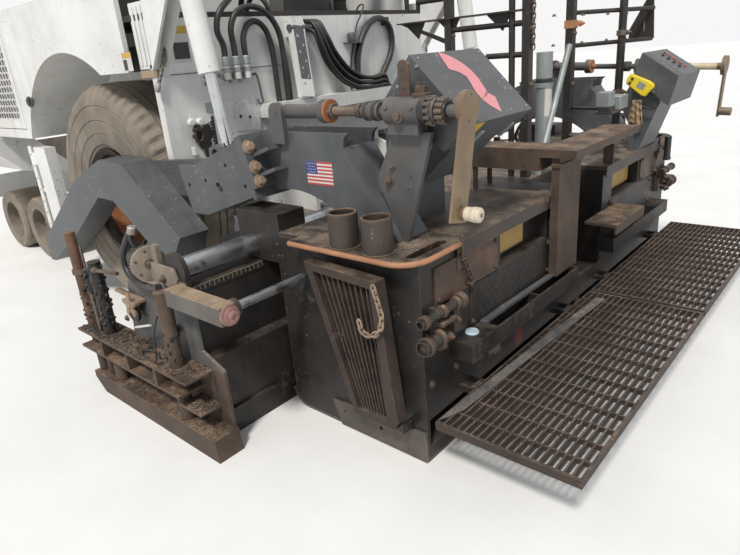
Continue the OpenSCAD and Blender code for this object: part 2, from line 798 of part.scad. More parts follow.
module screed_brackets() color("#3a3d42") place() both() {
    for (y = [arm_y + 20, arm_y - 160])
        xz(y, y + 20) flag_outline();
    xz(arm_y - 150, arm_y + 30)
        polygon([[190, deck_z], [455, bracket_z - 60], [475, bracket_z - 60], [212, deck_z]]);
    along_link() {
        box([-flange_t - 1, -fit], [arm_y - 160, arm_out + 25], [30, flange_h + 10]);
        for (z = [75, 170])
            box([-150, -flange_t + 5], [arm_y + 35, arm_out - 10], [z, z + 16]);
    }
}

// Main screed

frame_x1 = screed_depth - 30;
nose_x = screed_depth - 110;
nose_r = 105;
nose_gap = 3;
tray_z = [412, 495];
recess_x = 240;
recess_y = [-300, 200];
recess_z = 330;
pocket_y = [450, 920];
pocket_z = [700, 848];
door_span = [950, 1440];

module end_plate_outline() {
    polygon(concat([[0, sole_t]], arc(nose_x, nose_r, nose_r - sole_t - nose_gap, -90, -30, 5),
        [[frame_x1, 75], [frame_x1, deck_z - deck_t], [0, deck_z - deck_t]]));
}

module screed_frame() color("#2d2a28") place() {
    difference() {
        both() {
            box([0, wall_t], [crown_gap / 2, half_w], [walkway_z - 60, deck_z - deck_t]);
            rear_panels();
            box([frame_x1 - wall_t, frame_x1], [crown_gap / 2, half_w], [sole_t + 110, deck_z - deck_t]);
            for (y = [crown_gap / 2, half_w - wall_t])
                xz(y, y + wall_t) end_plate_outline();
            box([0, 120], [crown_gap / 2, half_w], [sole_t, sole_t + 60]);
            box([nose_x - 120, nose_x], [crown_gap / 2, half_w], [sole_t, sole_t + 60]);
            tube_housing();
            walkway_lugs();
            end_step_lugs();
            rod_y(ext_rod_x, ext_rod_z, crown_gap / 2, half_w - wall_t + 1, ext_rod_r + 18);
        }
        both() {
            rod_y(ext_rod_x, ext_rod_z, 10, half_w + 1, ext_rod_r + fit);
            rod_y(tube_x, tube_z, arm_y - 10, half_w + 10, tube_r + fit);
            box([-1, wall_t + 45], pocket_y, pocket_z);
        }
        box([-20, recess_x], recess_y, [recess_z, deck_z]);
    }
    difference() {
        box([wall_t - 1, recess_x + 10], [recess_y[0] - 10, recess_y[1] + 10],
            [recess_z - 10, deck_z - deck_t]);
        box([wall_t - 2, recess_x], recess_y, [recess_z, deck_z]);
    }
    both() box([wall_t + 40, wall_t + 46], [pocket_y[0] + 130, pocket_y[1] - 10],
        [pocket_z[0] + 10, pocket_z[1] - 20]);
}

// Rear face: a raised door, a pocket that holds a plate, and a lower cover
module rear_panels() {
    box([-8, 1], door_span, [698, 856]);
    box([-4, 1], [420, 1180], [tray_z[1] + 5, 690]);
    box([wall_t - 1, wall_t + 51], [pocket_y[0] - 6, pocket_y[1] + 6], [pocket_z[0] - 6, pocket_z[1] + 6]);
}

module walkway_lugs() {
    for (y = walkway_hinges) {
        for (g = [-hinge_lug_t - 2, hinge_len + 2])
            box([-walkway_hinge - 12, 1], [y + g, y + g + hinge_lug_t],
                [walkway_pin_z - 14, walkway_pin_z + 14]);
        rod_y(-walkway_hinge, walkway_pin_z, y - hinge_lug_t - 2, y + hinge_len + hinge_lug_t + 2, 8);
    }
}

module end_step_lugs() {
    for (x = [step_pin_x0, step_pin_x1 - hinge_lug_t]) difference() {
        union() {
            box([x, x + hinge_lug_t], [half_w - 5, step_y + 30], [end_step_z - 20, end_step_z + 20]);
            rod_x(step_y + 30, end_step_z, x, x + hinge_lug_t, 20);
        }
        rod_x(step_y + 30, end_step_z, x - 1, x + hinge_lug_t + 1, 14 + fit);
    }
}

module tube_housing() {
    box([frame_x1 - 20, tube_x + 90], [arm_y, half_w], [ext_beam_z + clear, deck_z - deck_t]);
    box([deck_x1 + fit, tube_x + 90], [arm_y, half_w], [ext_beam_z + clear, deck_z + 80]);
}

deck_x1 = screed_depth - 62;
can_y = half_w + 5;
cans = [190, 370];

module deck_outline() {
    difference() {
        union() {
            translate([-20, crown_gap / 2]) square([deck_x1 + 20, half_w - 50]);
            translate([100, crown_gap / 2]) square([deck_x1 - 100, half_w - crown_gap / 2]);
            translate([100, half_w - 200]) square([550, 200 + deck_over]);
            translate([100, half_w + deck_over - 120]) circle(r = 120);
        }
        translate([45, half_w - 215]) circle(r = 22);
        translate([23, half_w - 215]) square([44, 200]);
        translate([45, half_w - 15]) circle(r = 22);
    }
}

module screed_deck() color("#3b2f28") place() {
    difference() {
        both() {
            translate([0, 0, deck_z - deck_t]) linear_extrude(deck_t) deck_outline();
            box([-20, -10], [crown_gap / 2, half_w - 275], [deck_z - 62, deck_z]);
        }
        box([-21, recess_x], recess_y, [deck_z - 70, deck_z + 1]);
    }
    both() for (x = cans) difference() {
        rod_z(x, can_y, deck_z - 1, deck_z + 140, 62);
        rod_z(x, can_y, deck_z + 5, deck_z + 141, 50);
    }
}

module sole_outline() {
    nose = arc(nose_x, nose_r, nose_r, -90, -10, 6);
    back = arc(nose_x, nose_r, nose_r - sole_t, -10, -90, 6);
    polygon(concat([[0, 0]], nose, back, [[0, sole_t]]));
}

module sole_plates() color("gray") place() both() {
    xz(crown_gap / 2, half_w) sole_outline();
    box([0, 500], [half_w - 2, half_w + 2], [4, sole_t]);
    xz(half_w, half_w + 12) difference() {
        polygon([[0, 4], [500, 4], [545, 128], [20, 150], [0, 150]]);
        for (x = [250, 470])
            translate([x, 82]) circle(r = 10);
    }
}

screw_y = arm_y + 20;
screw_z = bracket_z + 87;
screw_lug_x = 827;

// One row a screw: its side, how far it leans down, its rear end, its crank's length, width and lean
screws = [
    [1, 0, 128, 400, 98, 13],
    [-1, 2.6, 360, 320, 60, 4],
];

module thickness_screws() color("#4a3f38") place() for (k = screws) side(k[0]) {
    xz(screw_y + 20, screw_y + 46) {
        translate([785, bracket_z - 50]) square([85, screw_z - bracket_z + 50]);
        translate([screw_lug_x, screw_z]) circle(r = 42);
    }
    rod_y(screw_lug_x, screw_z, screw_y - 15, screw_y + 48, 16);
    box([60, 200], [screw_y - 32, screw_y + 30], [bracket_z + 4 - k[1] * 10, screw_z - k[1] * 14]);
    xz(screw_y - 22, screw_y - 2)
        polygon([[160, deck_z], [180, deck_z], [300, 1165], [205, bracket_z + 10 - k[1] * 8],
            [25, bracket_z + 10 - k[1] * 8]]);
    translate([screw_lug_x, screw_y, screw_z]) rotate([0, -k[1], 0]) translate([-screw_lug_x, 0, 0]) {
        for (c = [[560, 800, 30], [520, 565, 48], [200, 540, 18], [250, 330, 34], [50, 210, 52],
            [-k[2] + 20, 55, 22], [-15, 15, 45]])
            rod_x(0, 0, c[0], c[1], c[2]);
        translate([-k[2], -25, 8]) rotate([k[5], 0, 0]) {
            rod_x(0, 0, 0, 25, 60);
            box([0, 12], [-k[4] / 2, k[4] / 2], [-k[3], 0]);
            rod_x(-k[4] / 4, 35 - k[3], -70, 1, 26);
        }
    }
}

// One row a box: its side, its four corners seen along y, and the stand below it
boxes = [
    [1, [[-100, 1380], [150, 1630], [289, 1465], [11, 1284]],
        [[30, 1297], [280, 1460], [400, 1330], [400, deck_z], [330, deck_z], [330, 1120], [230, 1110]]],
    [-1, [[-214, 1370], [5, 1515], [60, 1355], [-173, 1199]],
        [[-120, 1236], [55, 1350], [60, deck_z], [-10, deck_z]]],
];
box_y = [835, 1322];

module control_boxes() color("#26282c") place() for (k = boxes) side(k[0]) {
    xz(box_y[0], box_y[1]) polygon(k[1]);
    xz(box_y[0] + 25, 1188) polygon(k[2]);
}

module rear_trays() color("#2a2624") place() both() {
    difference() {
        box([-100, 0], [260, half_w - 205], tray_z);
        for (c = [[268, 700], [708, 1100]])
            box([-92, -8], c, [tray_z[0] + 8, tray_z[1] + 1]);
    }
    for (k = [[-38, 685, 1330, 20, 1452], [-45, 585, 1470, 32, 1485]]) {
        difference() {
            union() {
                rod_y(k[0], k[1], k[2], 1590, k[3]);
                box([k[0], 0], [k[4], k[4] + 26], [k[1] - 20, k[1] + 20]);
            }
            rod_y(k[0], k[1], k[2] - 1, 1591, k[3] - 6);
        }
    }
}

// What stands on the main screed behind the operators' platform
post_top = 1960;

module centre_frame() color("#1f2022") place() {
    for (c = [[296, 100, 22], [780, 100, 22], [432, -762, 25]])
        box([c[0] - c[2], c[0] + c[2]], [c[1] - c[2], c[1] + c[2]], [deck_z, post_top]);
    for (c = [[386, 100, 17], [249, -1165, 26]])
        rod_z(c[0], c[1], deck_z, post_top, c[2]);
    rod_x(100, 1730, 290, 785, 15);
    rod_x(100, 1575, 290, 540, 15);
    rod_x(100, 1900, 290, 1000, 15);
    box([310, 1130], [60, 140], [1788, 1796]);
    for (x = [480, 800, 1040])
        xz(96, 104) polygon([[x - 90, 1790], [x + 60, 1790], [x - 40, 1700]]);
    xz(96, 104) polygon([[1090, 1790], [1130, 1790], [760, 1640], [760, 1670]]);
    for (z = [1585, 1780]) {
        translate([432, -762, z]) rotate([0, 0, -112.5]) rod_x(0, 0, 0, 745, 14);
    }
    xz(-1456, -1446) polygon([[130, 1585], [300, 1575], [300, 1650], [190, 1850], [150, 1850]]);
}

module centre_steps() color("#5a3a26") place() {
    box([-62, -20], [200, 450], [tray_z[1], 1110]);
    box([-21, 0], [200, 415], [tray_z[1], 850]);
    box([-72, -20], [190, 460], [1060, 1075]);
    box([-150, 40], [-400, 470], [1108, 1148]);
    box([-20, 40], [-400, -385], [deck_z, 1110]);
    box([39, 450], [290, 470], [1040, 1148]);
    for (y = [300, 450])
        box([400, 420], [y - 10, y + 10], [deck_z, 1041]);
    box([-185, -4], [-500, -40], [640, 655]);
    for (y = [-410, -330])
        xz(y, y + 10) polygon([[0, 500], [0, 641], [-176, 641], [-176, 600]]);
    box([-185, -175], [-500, -40], [600, 641]);
}

module tool_posts() color("#8b8f92") place() {
    rod_z(410, -350, deck_z, 1570, 48);
    rod_z(410, -350, 1370, 1392, 54);
    rod_z(262, 20, deck_z, deck_z + 30, 22);
    translate([262, 20, deck_z + 12]) rotate([29.5, 0, 0]) cylinder(h = 765, r = 17);
}

// Walkways and folding end steps

module walkway(s) {
    y0 = 12;
    depth = walkway_rear - walkway_hinge - 20;
    place() side(s) {
        difference() {
            box([-walkway_rear, -walkway_hinge - 20], [y0, walkway_end], [walkway_z - walkway_t, walkway_z]);
            for (i = [0 : walkway_bars - 1])
                translate([-walkway_rear + 12 + i * (depth - 12) / walkway_bars, 0, 0])
                    box([0, (depth - 12) / walkway_bars - 7], [y0 + 12, walkway_end - 12],
                        [walkway_z - walkway_t - 1, walkway_z + 1]);
        }
        for (j = [1 : 13])
            translate([0, y0 + j * (walkway_end - y0) / 14, 0])
                box([-walkway_rear + 5, -walkway_hinge - 25], [-4, 4],
                    [walkway_z - walkway_t + 8, walkway_z - 4]);
        for (y = walkway_hinges) difference() {
            union() {
                box([-walkway_hinge - 25, -walkway_hinge], [y, y + hinge_len],
                    [walkway_pin_z - 13, walkway_pin_z + 12]);
                rod_y(-walkway_hinge, walkway_pin_z, y, y + hinge_len, 13);
            }
            rod_y(-walkway_hinge, walkway_pin_z, y - 1, y + hinge_len + 1, 8 + fit);
        }
    }
}

module walkway_left() color("#4b3a30") walkway(1);

module walkway_right() color("#4b3a30") walkway(-1);

step_y = half_w + 40;
step_slats = 9;

module end_step(s) {
    place() side(s) {
        difference() {
            xz(step_y, step_y + 60)
                polygon([[75, end_step_z + 35], [100, end_step_z], [315, end_step_z],
                    [530, end_step_z + end_step_h], [140, end_step_z + end_step_h - 20]]);
            xz(step_y - 1, step_y + 61)
                polygon([[125, end_step_z + 35], [295, end_step_z + 35], [484, end_step_z + end_step_h - 35],
                    [172, end_step_z + end_step_h - 52]]);
        }
        for (i = [1 : step_slats]) let (f = i / (step_slats + 1))
            xz(step_y + 14, step_y + 46)
                polygon([[121 + 170 * f, end_step_z + 30], [127 + 170 * f, end_step_z + 30],
                    [175 + 312 * f, end_step_z + end_step_h - 30],
                    [169 + 312 * f, end_step_z + end_step_h - 30]]);
        rod_x(step_y + 30, end_step_z, step_pin_x0, step_pin_x1, 14);
    }
}

module end_step_left() color("#5a4334") end_step(1);

module end_step_right() color("#5a4334") end_step(-1);

// Extensions, their guide tubes and the end gates

ext_y0 = ext_end - ext_len;

module extension(s) {
    place() side(s) {
        xz(ext_y0, ext_end) difference() {
            polygon([[ext_x0, 0], [ext_x1 - 80, 0], [ext_x1, 80], [ext_x1, ext_box_z], [1170, ext_box_z],
                [1170, ext_beam_z], [ext_x0 + 70, ext_beam_z], [ext_x0 + 70, ext_box_z],
                [ext_x0, ext_box_z]]);
            polygon([[ext_x0 + 15, sole_t], [ext_x1 - 80, sole_t], [ext_x1 - 15, 90],
                [ext_x1 - 15, ext_box_z - 15],
                [ext_x0 + 15, ext_box_z - 15]]);
        }
        box([ext_rod_x - 40, ext_x0 + 110], [ext_end + gate_t + 10, ext_end + gate_t + 85],
            [ext_rod_z - 42, ext_rod_z + 38]);
        box([ext_x0 + 75, ext_x0 + 110], [ext_end - 1, ext_end + gate_t + 12], [ext_rod_z - 42, ext_beam_z]);
        rod_y(ext_rod_x, ext_rod_z, ext_end + gate_t - 20, ext_end + gate_t + 11, 38);
        box([ext_x0 - 14, ext_x0 + 1], [half_w + 70, ext_end], [125, 140]);
        rod_y(tube_x, tube_z, ext_end, ext_end + 25, tube_r + 30);
        box([tube_x - 70, tube_x + 70], [ext_end, ext_end + 25], [700, tube_z]);
        box([tube_x - 40, tube_x + 70], [ext_end - 5, ext_end + 25], [700, ext_beam_z]);
        box([tube_x - 60, tube_x + 60], [ext_y0 - 20, ext_y0], [ext_beam_z - 100, tube_z + tube_r]);
        box([tube_x - 40, tube_x + 60], [ext_y0 - 1, ext_y0 + 20], [ext_beam_z - 100, ext_beam_z - 20]);
    }
}

module extension_left() color("#2a2725") extension(1);

module extension_right() color("#2a2725") extension(-1);

module guide_tube(s) {
    place() side(s) {
        rod_y(tube_x, tube_z, ext_y0, ext_end, tube_r);
        rod_y(ext_rod_x, ext_rod_z, ext_y0 - 20, ext_end + gate_t - 20, ext_rod_r);
    }
}

module guide_tube_left() color("silver") guide_tube(1);

module guide_tube_right() color("silver") guide_tube(-1);

gate_y = ext_end + fit;
gate_pocket = (gate_len - 110) / 4;

module end_gate(s) {
    place() side(s) {
        xz(gate_y, gate_y + gate_t)
            polygon([[gate_x0 + 30, 60], [gate_x0 + 30, 400], [ext_x0 + 50, ext_box_z + 40],
                [ext_x0 + 50, 690], [1500, 690], [1560, gate_step_z], [gate_x1, gate_step_z],
                [gate_x1, 60]]);
        xz(gate_y, gate_y + ski_w)
            polygon([[gate_x0, 0], [gate_x1 - 90, 0], [gate_x1, 70], [gate_x1, ski_h],
                [gate_x0 + 15, ski_h]]);
        difference() {
            box([gate_x0 + 110, gate_x1], [gate_y + gate_t - 1, gate_y + 160],
                [gate_step_z - 110, gate_step_z]);
            for (i = [0 : 3])
                box([gate_x0 + 125 + i * gate_pocket, gate_x0 + 110 + (i + 1) * gate_pocket],
                    [gate_y + gate_t + 8, gate_y + 161], [gate_step_z - 98, gate_step_z - 12]);
            box([gate_x0 + 109, gate_x0 + 200], [gate_y + gate_t + 8, gate_y + 161],
                [gate_step_z - 111, gate_step_z - 12]);
        }
        box([gate_x0 + 90, gate_x0 + 260], [gate_y + gate_t - 1, gate_y + ski_w - 5], [205, 213]);
        for (c = [[ext_x0 + 160, 370, post_r + 8], [gate_x1 - 32, 525, post_r],
            [gate_x1 - 240, 400, post_r + 6], [gate_x1 - 130, 340, post_r - 6]])
            rod_z(c[0], gate_y + 85, ski_h - 5, gate_step_z + c[1], c[2]);
        rod_y(1420, 560, gate_y + gate_t - 1, gate_y + 60, 12);
        rod_y(1420, 560, gate_y + 45, gate_y + 62, 55);
    }
}

module end_gate_left() color("#4a4038") end_gate(1);

module end_gate_right() color("#4a4038") end_gate(-1);

// Lift cylinders, each from the tractor's bracket down to the screed's arm

lift_lean = atan2(lift_top_x - lift_low_x, lift_top_z - lift_low_z);
lift_len = sqrt(pow(lift_top_x - lift_low_x, 2) + pow(lift_top_z - lift_low_z, 2));
lift_neck = 75;
lift_low_end = 404;
lift_barrel_len = lift_len - lift_neck - lift_low_end;

// Children are drawn along the cylinder, z measured up from its lower eye
module along_lift() translate([lift_low_x, lift_y, lift_low_z]) rotate([0, lift_lean, 0]) children();

module lift_barrel(s) {
    place() side(s) along_lift() {
        difference() {
            union() {
                translate([0, 0, lift_low_end]) cylinder(h = lift_barrel_len, r = lift_r);
                translate([0, 0, lift_len - lift_neck - 5]) cylinder(h = lift_neck, r = 24);
                translate([0, 25, lift_len]) rotate([90, 0, 0]) cylinder(h = 50, r = 50);
            }
            translate([0, 0, lift_low_end - 1]) cylinder(h = lift_barrel_len - 20, r = lift_rod_r + fit);
        }
        translate([0, 50, lift_len]) rotate([90, 0, 0]) cylinder(h = 100, r = 25);
    }
}

module lift_rod(s) {
    place() side(s) along_lift() {
        translate([0, 0, lift_eye_r - 6]) cylinder(h = lift_low_end - lift_eye_r + 20, r = lift_rod_r);
        translate([0, 24, 0]) rotate([90, 0, 0]) cylinder(h = 50, r = lift_eye_r);
    }
}

module lift_barrel_left() color("white") lift_barrel(1);

module lift_barrel_right() color("white") lift_barrel(-1);

module lift_rod_left() color("silver") lift_rod(1);

module lift_rod_right() color("silver") lift_rod(-1);

chassis();
rear_bulkhead();
hopper_crossbeam();
push_beam();
auger_frame();
tow_slides();
engine_housing();
engine();
platform();
railings();
seats();
consoles();
axles();
conveyors();
engine_door_left();
engine_door_right();
rear_tyre_left();
rear_rim_left();
rear_tyre_right();
rear_rim_right();
knuckle_front_left();
knuckle_rear_left();
knuckle_front_right();
knuckle_rear_right();
wheel_front_left();
wheel_rear_left();
wheel_front_right();
wheel_rear_right();
hopper_wing_left();
hopper_wing_right();
hopper_apron();
push_roller_left();
push_roller_right();
auger_left();
auger_right();
tow_arms();
screed_brackets();
screed_frame();
screed_deck();
sole_plates();
thickness_screws();
control_boxes();
rear_trays();
centre_frame();
centre_steps();
tool_posts();
walkway_left();
walkway_right();
end_step_left();
end_step_right();
extension_left();
extension_right();
guide_tube_left();
guide_tube_right();
end_gate_left();
end_gate_right();
lift_barrel_left();
lift_barrel_right();
lift_rod_left();
lift_rod_right();
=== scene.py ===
import math
import random

import bmesh
import bpy
from mathutils import Matrix, Vector


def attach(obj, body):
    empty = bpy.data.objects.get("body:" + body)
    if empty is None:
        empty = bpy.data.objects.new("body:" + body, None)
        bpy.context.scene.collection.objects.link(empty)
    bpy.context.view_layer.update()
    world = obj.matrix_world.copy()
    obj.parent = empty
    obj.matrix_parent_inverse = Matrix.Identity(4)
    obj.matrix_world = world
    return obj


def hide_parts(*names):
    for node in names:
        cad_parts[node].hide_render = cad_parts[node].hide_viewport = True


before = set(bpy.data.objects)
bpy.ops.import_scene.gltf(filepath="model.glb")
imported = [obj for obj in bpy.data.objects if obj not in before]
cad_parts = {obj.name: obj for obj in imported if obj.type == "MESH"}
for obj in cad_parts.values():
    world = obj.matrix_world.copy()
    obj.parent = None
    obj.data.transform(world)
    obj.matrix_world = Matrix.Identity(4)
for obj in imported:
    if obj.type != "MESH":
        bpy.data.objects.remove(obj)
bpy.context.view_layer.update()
print("frame loaded:", len(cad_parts), "nodes")

# camera, light and floor
view = {
    "place": (-4.263, 3.158, 1.65),
    "forward": (0.6316, -0.6879, -0.3576),
    "up": (0.1784, -0.3199, 0.9305),
    "lens": 28.51,
    "sensor": 36.0,
}
light = {
    "sunFrom": (-0.30, 0.62, 0.95),
    "sunStrength": 3.0,
    "sunAngle": 9.0,
    "sunColour": (1.0, 0.965, 0.91),
    "fillStrength": 0.62,
    "fillColour": (0.86, 0.92, 1.0),
    "backdrop": (0.93, 0.93, 0.925),
}
floorLook = {"size": 60.0, "pale": (0.80, 0.79, 0.77), "shade": (0.74, 0.73, 0.71)}


def addCamera():
    forward = Vector(view["forward"]).normalized()
    up = Vector(view["up"])
    right = forward.cross(up).normalized()
    up = right.cross(forward).normalized()
    data = bpy.data.cameras.new("camera")
    data.lens = view["lens"]
    data.sensor_width = view["sensor"]
    data.clip_start = 0.02
    camera = bpy.data.objects.new("camera", data)
    turn = Matrix((right, up, -forward)).transposed().to_4x4()
    camera.matrix_world = Matrix.Translation(view["place"]) @ turn
    bpy.context.scene.collection.objects.link(camera)
    bpy.context.scene.camera = camera


def addSun():
    data = bpy.data.lights.new("sun", "SUN")
    data.energy = light["sunStrength"]
    data.angle = math.radians(light["sunAngle"])
    data.color = light["sunColour"]
    sun = bpy.data.objects.new("sun", data)
    sun.rotation_euler = Vector(light["sunFrom"]).to_track_quat("Z", "Y").to_euler()
    bpy.context.scene.collection.objects.link(sun)


def addWorld():
    world = bpy.data.worlds.new("studio")
    world.use_nodes = True
    bpy.context.scene.world = world
    tree = world.node_tree
    tree.nodes.clear()
    rays = tree.nodes.new("ShaderNodeLightPath")
    seen = tree.nodes.new("ShaderNodeMath")
    seen.operation = "MAXIMUM"
    mirrored = tree.nodes.new("ShaderNodeMath")
    mirrored.operation = "MAXIMUM"
    tree.links.new(rays.outputs["Is Glossy Ray"], mirrored.inputs[0])
    tree.links.new(rays.outputs["Is Transmission Ray"], mirrored.inputs[1])
    tree.links.new(rays.outputs["Is Camera Ray"], seen.inputs[0])
    tree.links.new(mirrored.outputs[0], seen.inputs[1])
    soft = tree.nodes.new("ShaderNodeBackground")
    soft.inputs["Color"].default_value = (*light["fillColour"], 1)
    soft.inputs["Strength"].default_value = light["fillStrength"]
    shown = tree.nodes.new("ShaderNodeBackground")
    shown.inputs["Color"].default_value = (*light["backdrop"], 1)
    mix = tree.nodes.new("ShaderNodeMixShader")
    out = tree.nodes.new("ShaderNodeOutputWorld")
    tree.links.new(seen.outputs[0], mix.inputs[0])
    tree.links.new(soft.outputs[0], mix.inputs[1])
    tree.links.new(shown.outputs[0], mix.inputs[2])
    tree.links.new(mix.outputs[0], out.inputs[0])


addCamera()
addSun()
addWorld()
bpy.context.scene.view_settings.view_transform = "Standard"
print("camera and light set")


# places are measured as in the part's source: x from the main screed's rear face
middle = 3.015


def at(x, y, z):
    return Vector((x - middle, y, z))


# small helpers that build shader nodes
def addNode(tree, kind, sockets=None, **settings):
    node = tree.nodes.new(kind)
    for name, value in settings.items():
        setattr(node, name, value)
    for name, value in (sockets or {}).items():
        if isinstance(value, bpy.types.NodeSocket):
            tree.links.new(value, node.inputs[name])
        else:
            node.inputs[name].default_value = value
    return node


def mathNode(tree, operation, a, b=0.0, clamp=False):
    node = addNode(tree, "ShaderNodeMath", {0: a, 1: b}, operation=operation, use_clamp=clamp)
    return node.outputs[0]


def remap(tree, value, low, high, toLow=0.0, toHigh=1.0):
    sockets = {"Value": value, "From Min": low, "From Max": high, "To Min": toLow, "To Max": toHigh}
    return addNode(tree, "ShaderNodeMapRange", sockets).outputs["Result"]


def mixColour(tree, factor, a, b):
    node = tree.nodes.new("ShaderNodeMix")
    node.data_type = "RGBA"
    for socket, value in ((node.inputs[0], factor), (node.inputs[6], a), (node.inputs[7], b)):
        if isinstance(value, bpy.types.NodeSocket):
            tree.links.new(value, socket)
        elif isinstance(value, (int, float)):
            socket.default_value = value
        else:
            socket.default_value = (*value, 1)
    return node.outputs[2]


def mixValue(tree, factor, a, b):
    node = tree.nodes.new("ShaderNodeMix")
    for socket, value in ((node.inputs[0], factor), (node.inputs[2], a), (node.inputs[3], b)):
        if isinstance(value, bpy.types.NodeSocket):
            tree.links.new(value, socket)
        else:
            socket.default_value = value
    return node.outputs[0]


def noiseNode(tree, place, scale, detail=4.0, roughness=0.6, distortion=0.0):
    sockets = {"Vector": place, "Scale": scale, "Detail": detail, "Roughness": roughness,
               "Distortion": distortion}
    return addNode(tree, "ShaderNodeTexNoise", sockets).outputs["Fac"]


def startGroup(name, inputs, outputs):
    group = bpy.data.node_groups.new(name, "ShaderNodeTree")
    for label, kind, value in inputs:
        socket = group.interface.new_socket(label, in_out="INPUT", socket_type=kind)
        if value is not None:
            socket.default_value = value
    for label, kind in outputs:
        group.interface.new_socket(label, in_out="OUTPUT", socket_type=kind)
    return group, group.nodes.new("NodeGroupInput"), group.nodes.new("NodeGroupOutput")


def edgeWearGroup():
    # paint that has gone from the edges, broken up by noise
    inputs = (("Radius", "NodeSocketFloat", 0.006), ("Amount", "NodeSocketFloat", 1.0),
              ("Scale", "NodeSocketFloat", 30.0))
    group, entry, leave = startGroup("edge wear", inputs, (("Mask", "NodeSocketFloat"),))
    place = addNode(group, "ShaderNodeTexCoord").outputs["Object"]
    rounded = addNode(group, "ShaderNodeBevel", {"Radius": entry.outputs["Radius"]}, samples=4)
    flat = addNode(group, "ShaderNodeNewGeometry")
    dot = addNode(group, "ShaderNodeVectorMath", {0: rounded.outputs[0], 1: flat.outputs["Normal"]},
                  operation="DOT_PRODUCT").outputs["Value"]
    edge = remap(group, dot, 0.999, 0.80)
    grain = noiseNode(group, place, entry.outputs["Scale"], 5.0, 0.7)
    broken = mathNode(group, "MULTIPLY", edge, remap(group, grain, 0.38, 0.62))
    group.links.new(mathNode(group, "MULTIPLY", broken, entry.outputs["Amount"], True), leave.inputs["Mask"])
    return group


def chipsGroup():
    # small irregular islands where paint has flaked off
    inputs = (("Scale", "NodeSocketFloat", 6.0), ("Amount", "NodeSocketFloat", 0.3))
    group, entry, leave = startGroup("chips", inputs, (("Mask", "NodeSocketFloat"),))
    place = addNode(group, "ShaderNodeTexCoord").outputs["Object"]
    coarse = noiseNode(group, place, entry.outputs["Scale"], 2.0, 0.5)
    fine = noiseNode(group, place, mathNode(group, "MULTIPLY", entry.outputs["Scale"], 7.0), 6.0, 0.75, 0.4)
    both = mathNode(group, "MULTIPLY", mathNode(group, "ADD", coarse, fine), 0.5)
    edge = mathNode(group, "SUBTRACT", 0.74, mathNode(group, "MULTIPLY", entry.outputs["Amount"], 0.3))
    mask = remap(group, both, edge, mathNode(group, "ADD", edge, 0.02))
    group.links.new(mask, leave.inputs["Mask"])
    return group


def streaksGroup():
    # dirt and rust that has run down a face
    inputs = (("Scale", "NodeSocketFloat", 8.0), ("Amount", "NodeSocketFloat", 0.5))
    group, entry, leave = startGroup("streaks", inputs, (("Mask", "NodeSocketFloat"),))
    place = addNode(group, "ShaderNodeTexCoord").outputs["Object"]
    thin = addNode(group, "ShaderNodeVectorMath", {0: place, 1: (1.0, 1.0, 0.09)},
                   operation="MULTIPLY").outputs[0]
    runs = noiseNode(group, thin, entry.outputs["Scale"], 5.0, 0.65, 0.2)
    spread = noiseNode(group, place, 1.7, 3.0, 0.5)
    mask = mathNode(group, "MULTIPLY", remap(group, runs, 0.50, 0.74), remap(group, spread, 0.35, 0.65))
    group.links.new(mathNode(group, "MULTIPLY", mask, entry.outputs["Amount"], True), leave.inputs["Mask"])
    return group


def dustGroup():
    # grit and pale dust that lies on what faces up
    inputs = (("Amount", "NodeSocketFloat", 0.6), ("Scale", "NodeSocketFloat", 9.0))
    group, entry, leave = startGroup("dust", inputs, (("Mask", "NodeSocketFloat"),))
    place = addNode(group, "ShaderNodeTexCoord").outputs["Object"]
    flat = addNode(group, "ShaderNodeNewGeometry").outputs["Normal"]
    up = addNode(group, "ShaderNodeSeparateXYZ", {0: flat}).outputs["Z"]
    lies = remap(group, up, 0.35, 0.95)
    coarse = noiseNode(group, place, entry.outputs["Scale"], 5.0, 0.65, 0.3)
    fine = noiseNode(group, place, 110.0, 2.0, 0.6)
    patch = mathNode(group, "MULTIPLY", remap(group, coarse, 0.40, 0.66), remap(group, fine, 0.30, 0.58))
    mask = mathNode(group, "MULTIPLY", patch, lies)
    group.links.new(mathNode(group, "MULTIPLY", mask, entry.outputs["Amount"], True), leave.inputs["Mask"])
    return group


def specksGroup():
    # small round splashes of lime, tar and mud
    inputs = (("Scale", "NodeSocketFloat", 40.0), ("Amount", "NodeSocketFloat", 0.5))
    group, entry, leave = startGroup("specks", inputs, (("Mask", "NodeSocketFloat"),))
    place = addNode(group, "ShaderNodeTexCoord").outputs["Object"]
    cells = addNode(group, "ShaderNodeTexVoronoi", {"Vector": place, "Scale": entry.outputs["Scale"]})
    pick = addNode(group, "ShaderNodeSeparateColor", {0: cells.outputs["Color"]})
    size = remap(group, pick.outputs[0], 0.55, 1.0, 0.0, 0.30)
    dot = mathNode(group, "LESS_THAN", cells.outputs["Distance"], size)
    where = remap(group, noiseNode(group, place, 2.3, 3.0, 0.6), 0.45, 0.62)
    mask = mathNode(group, "MULTIPLY", dot, where)
    group.links.new(mathNode(group, "MULTIPLY", mask, entry.outputs["Amount"], True), leave.inputs["Mask"])
    return group


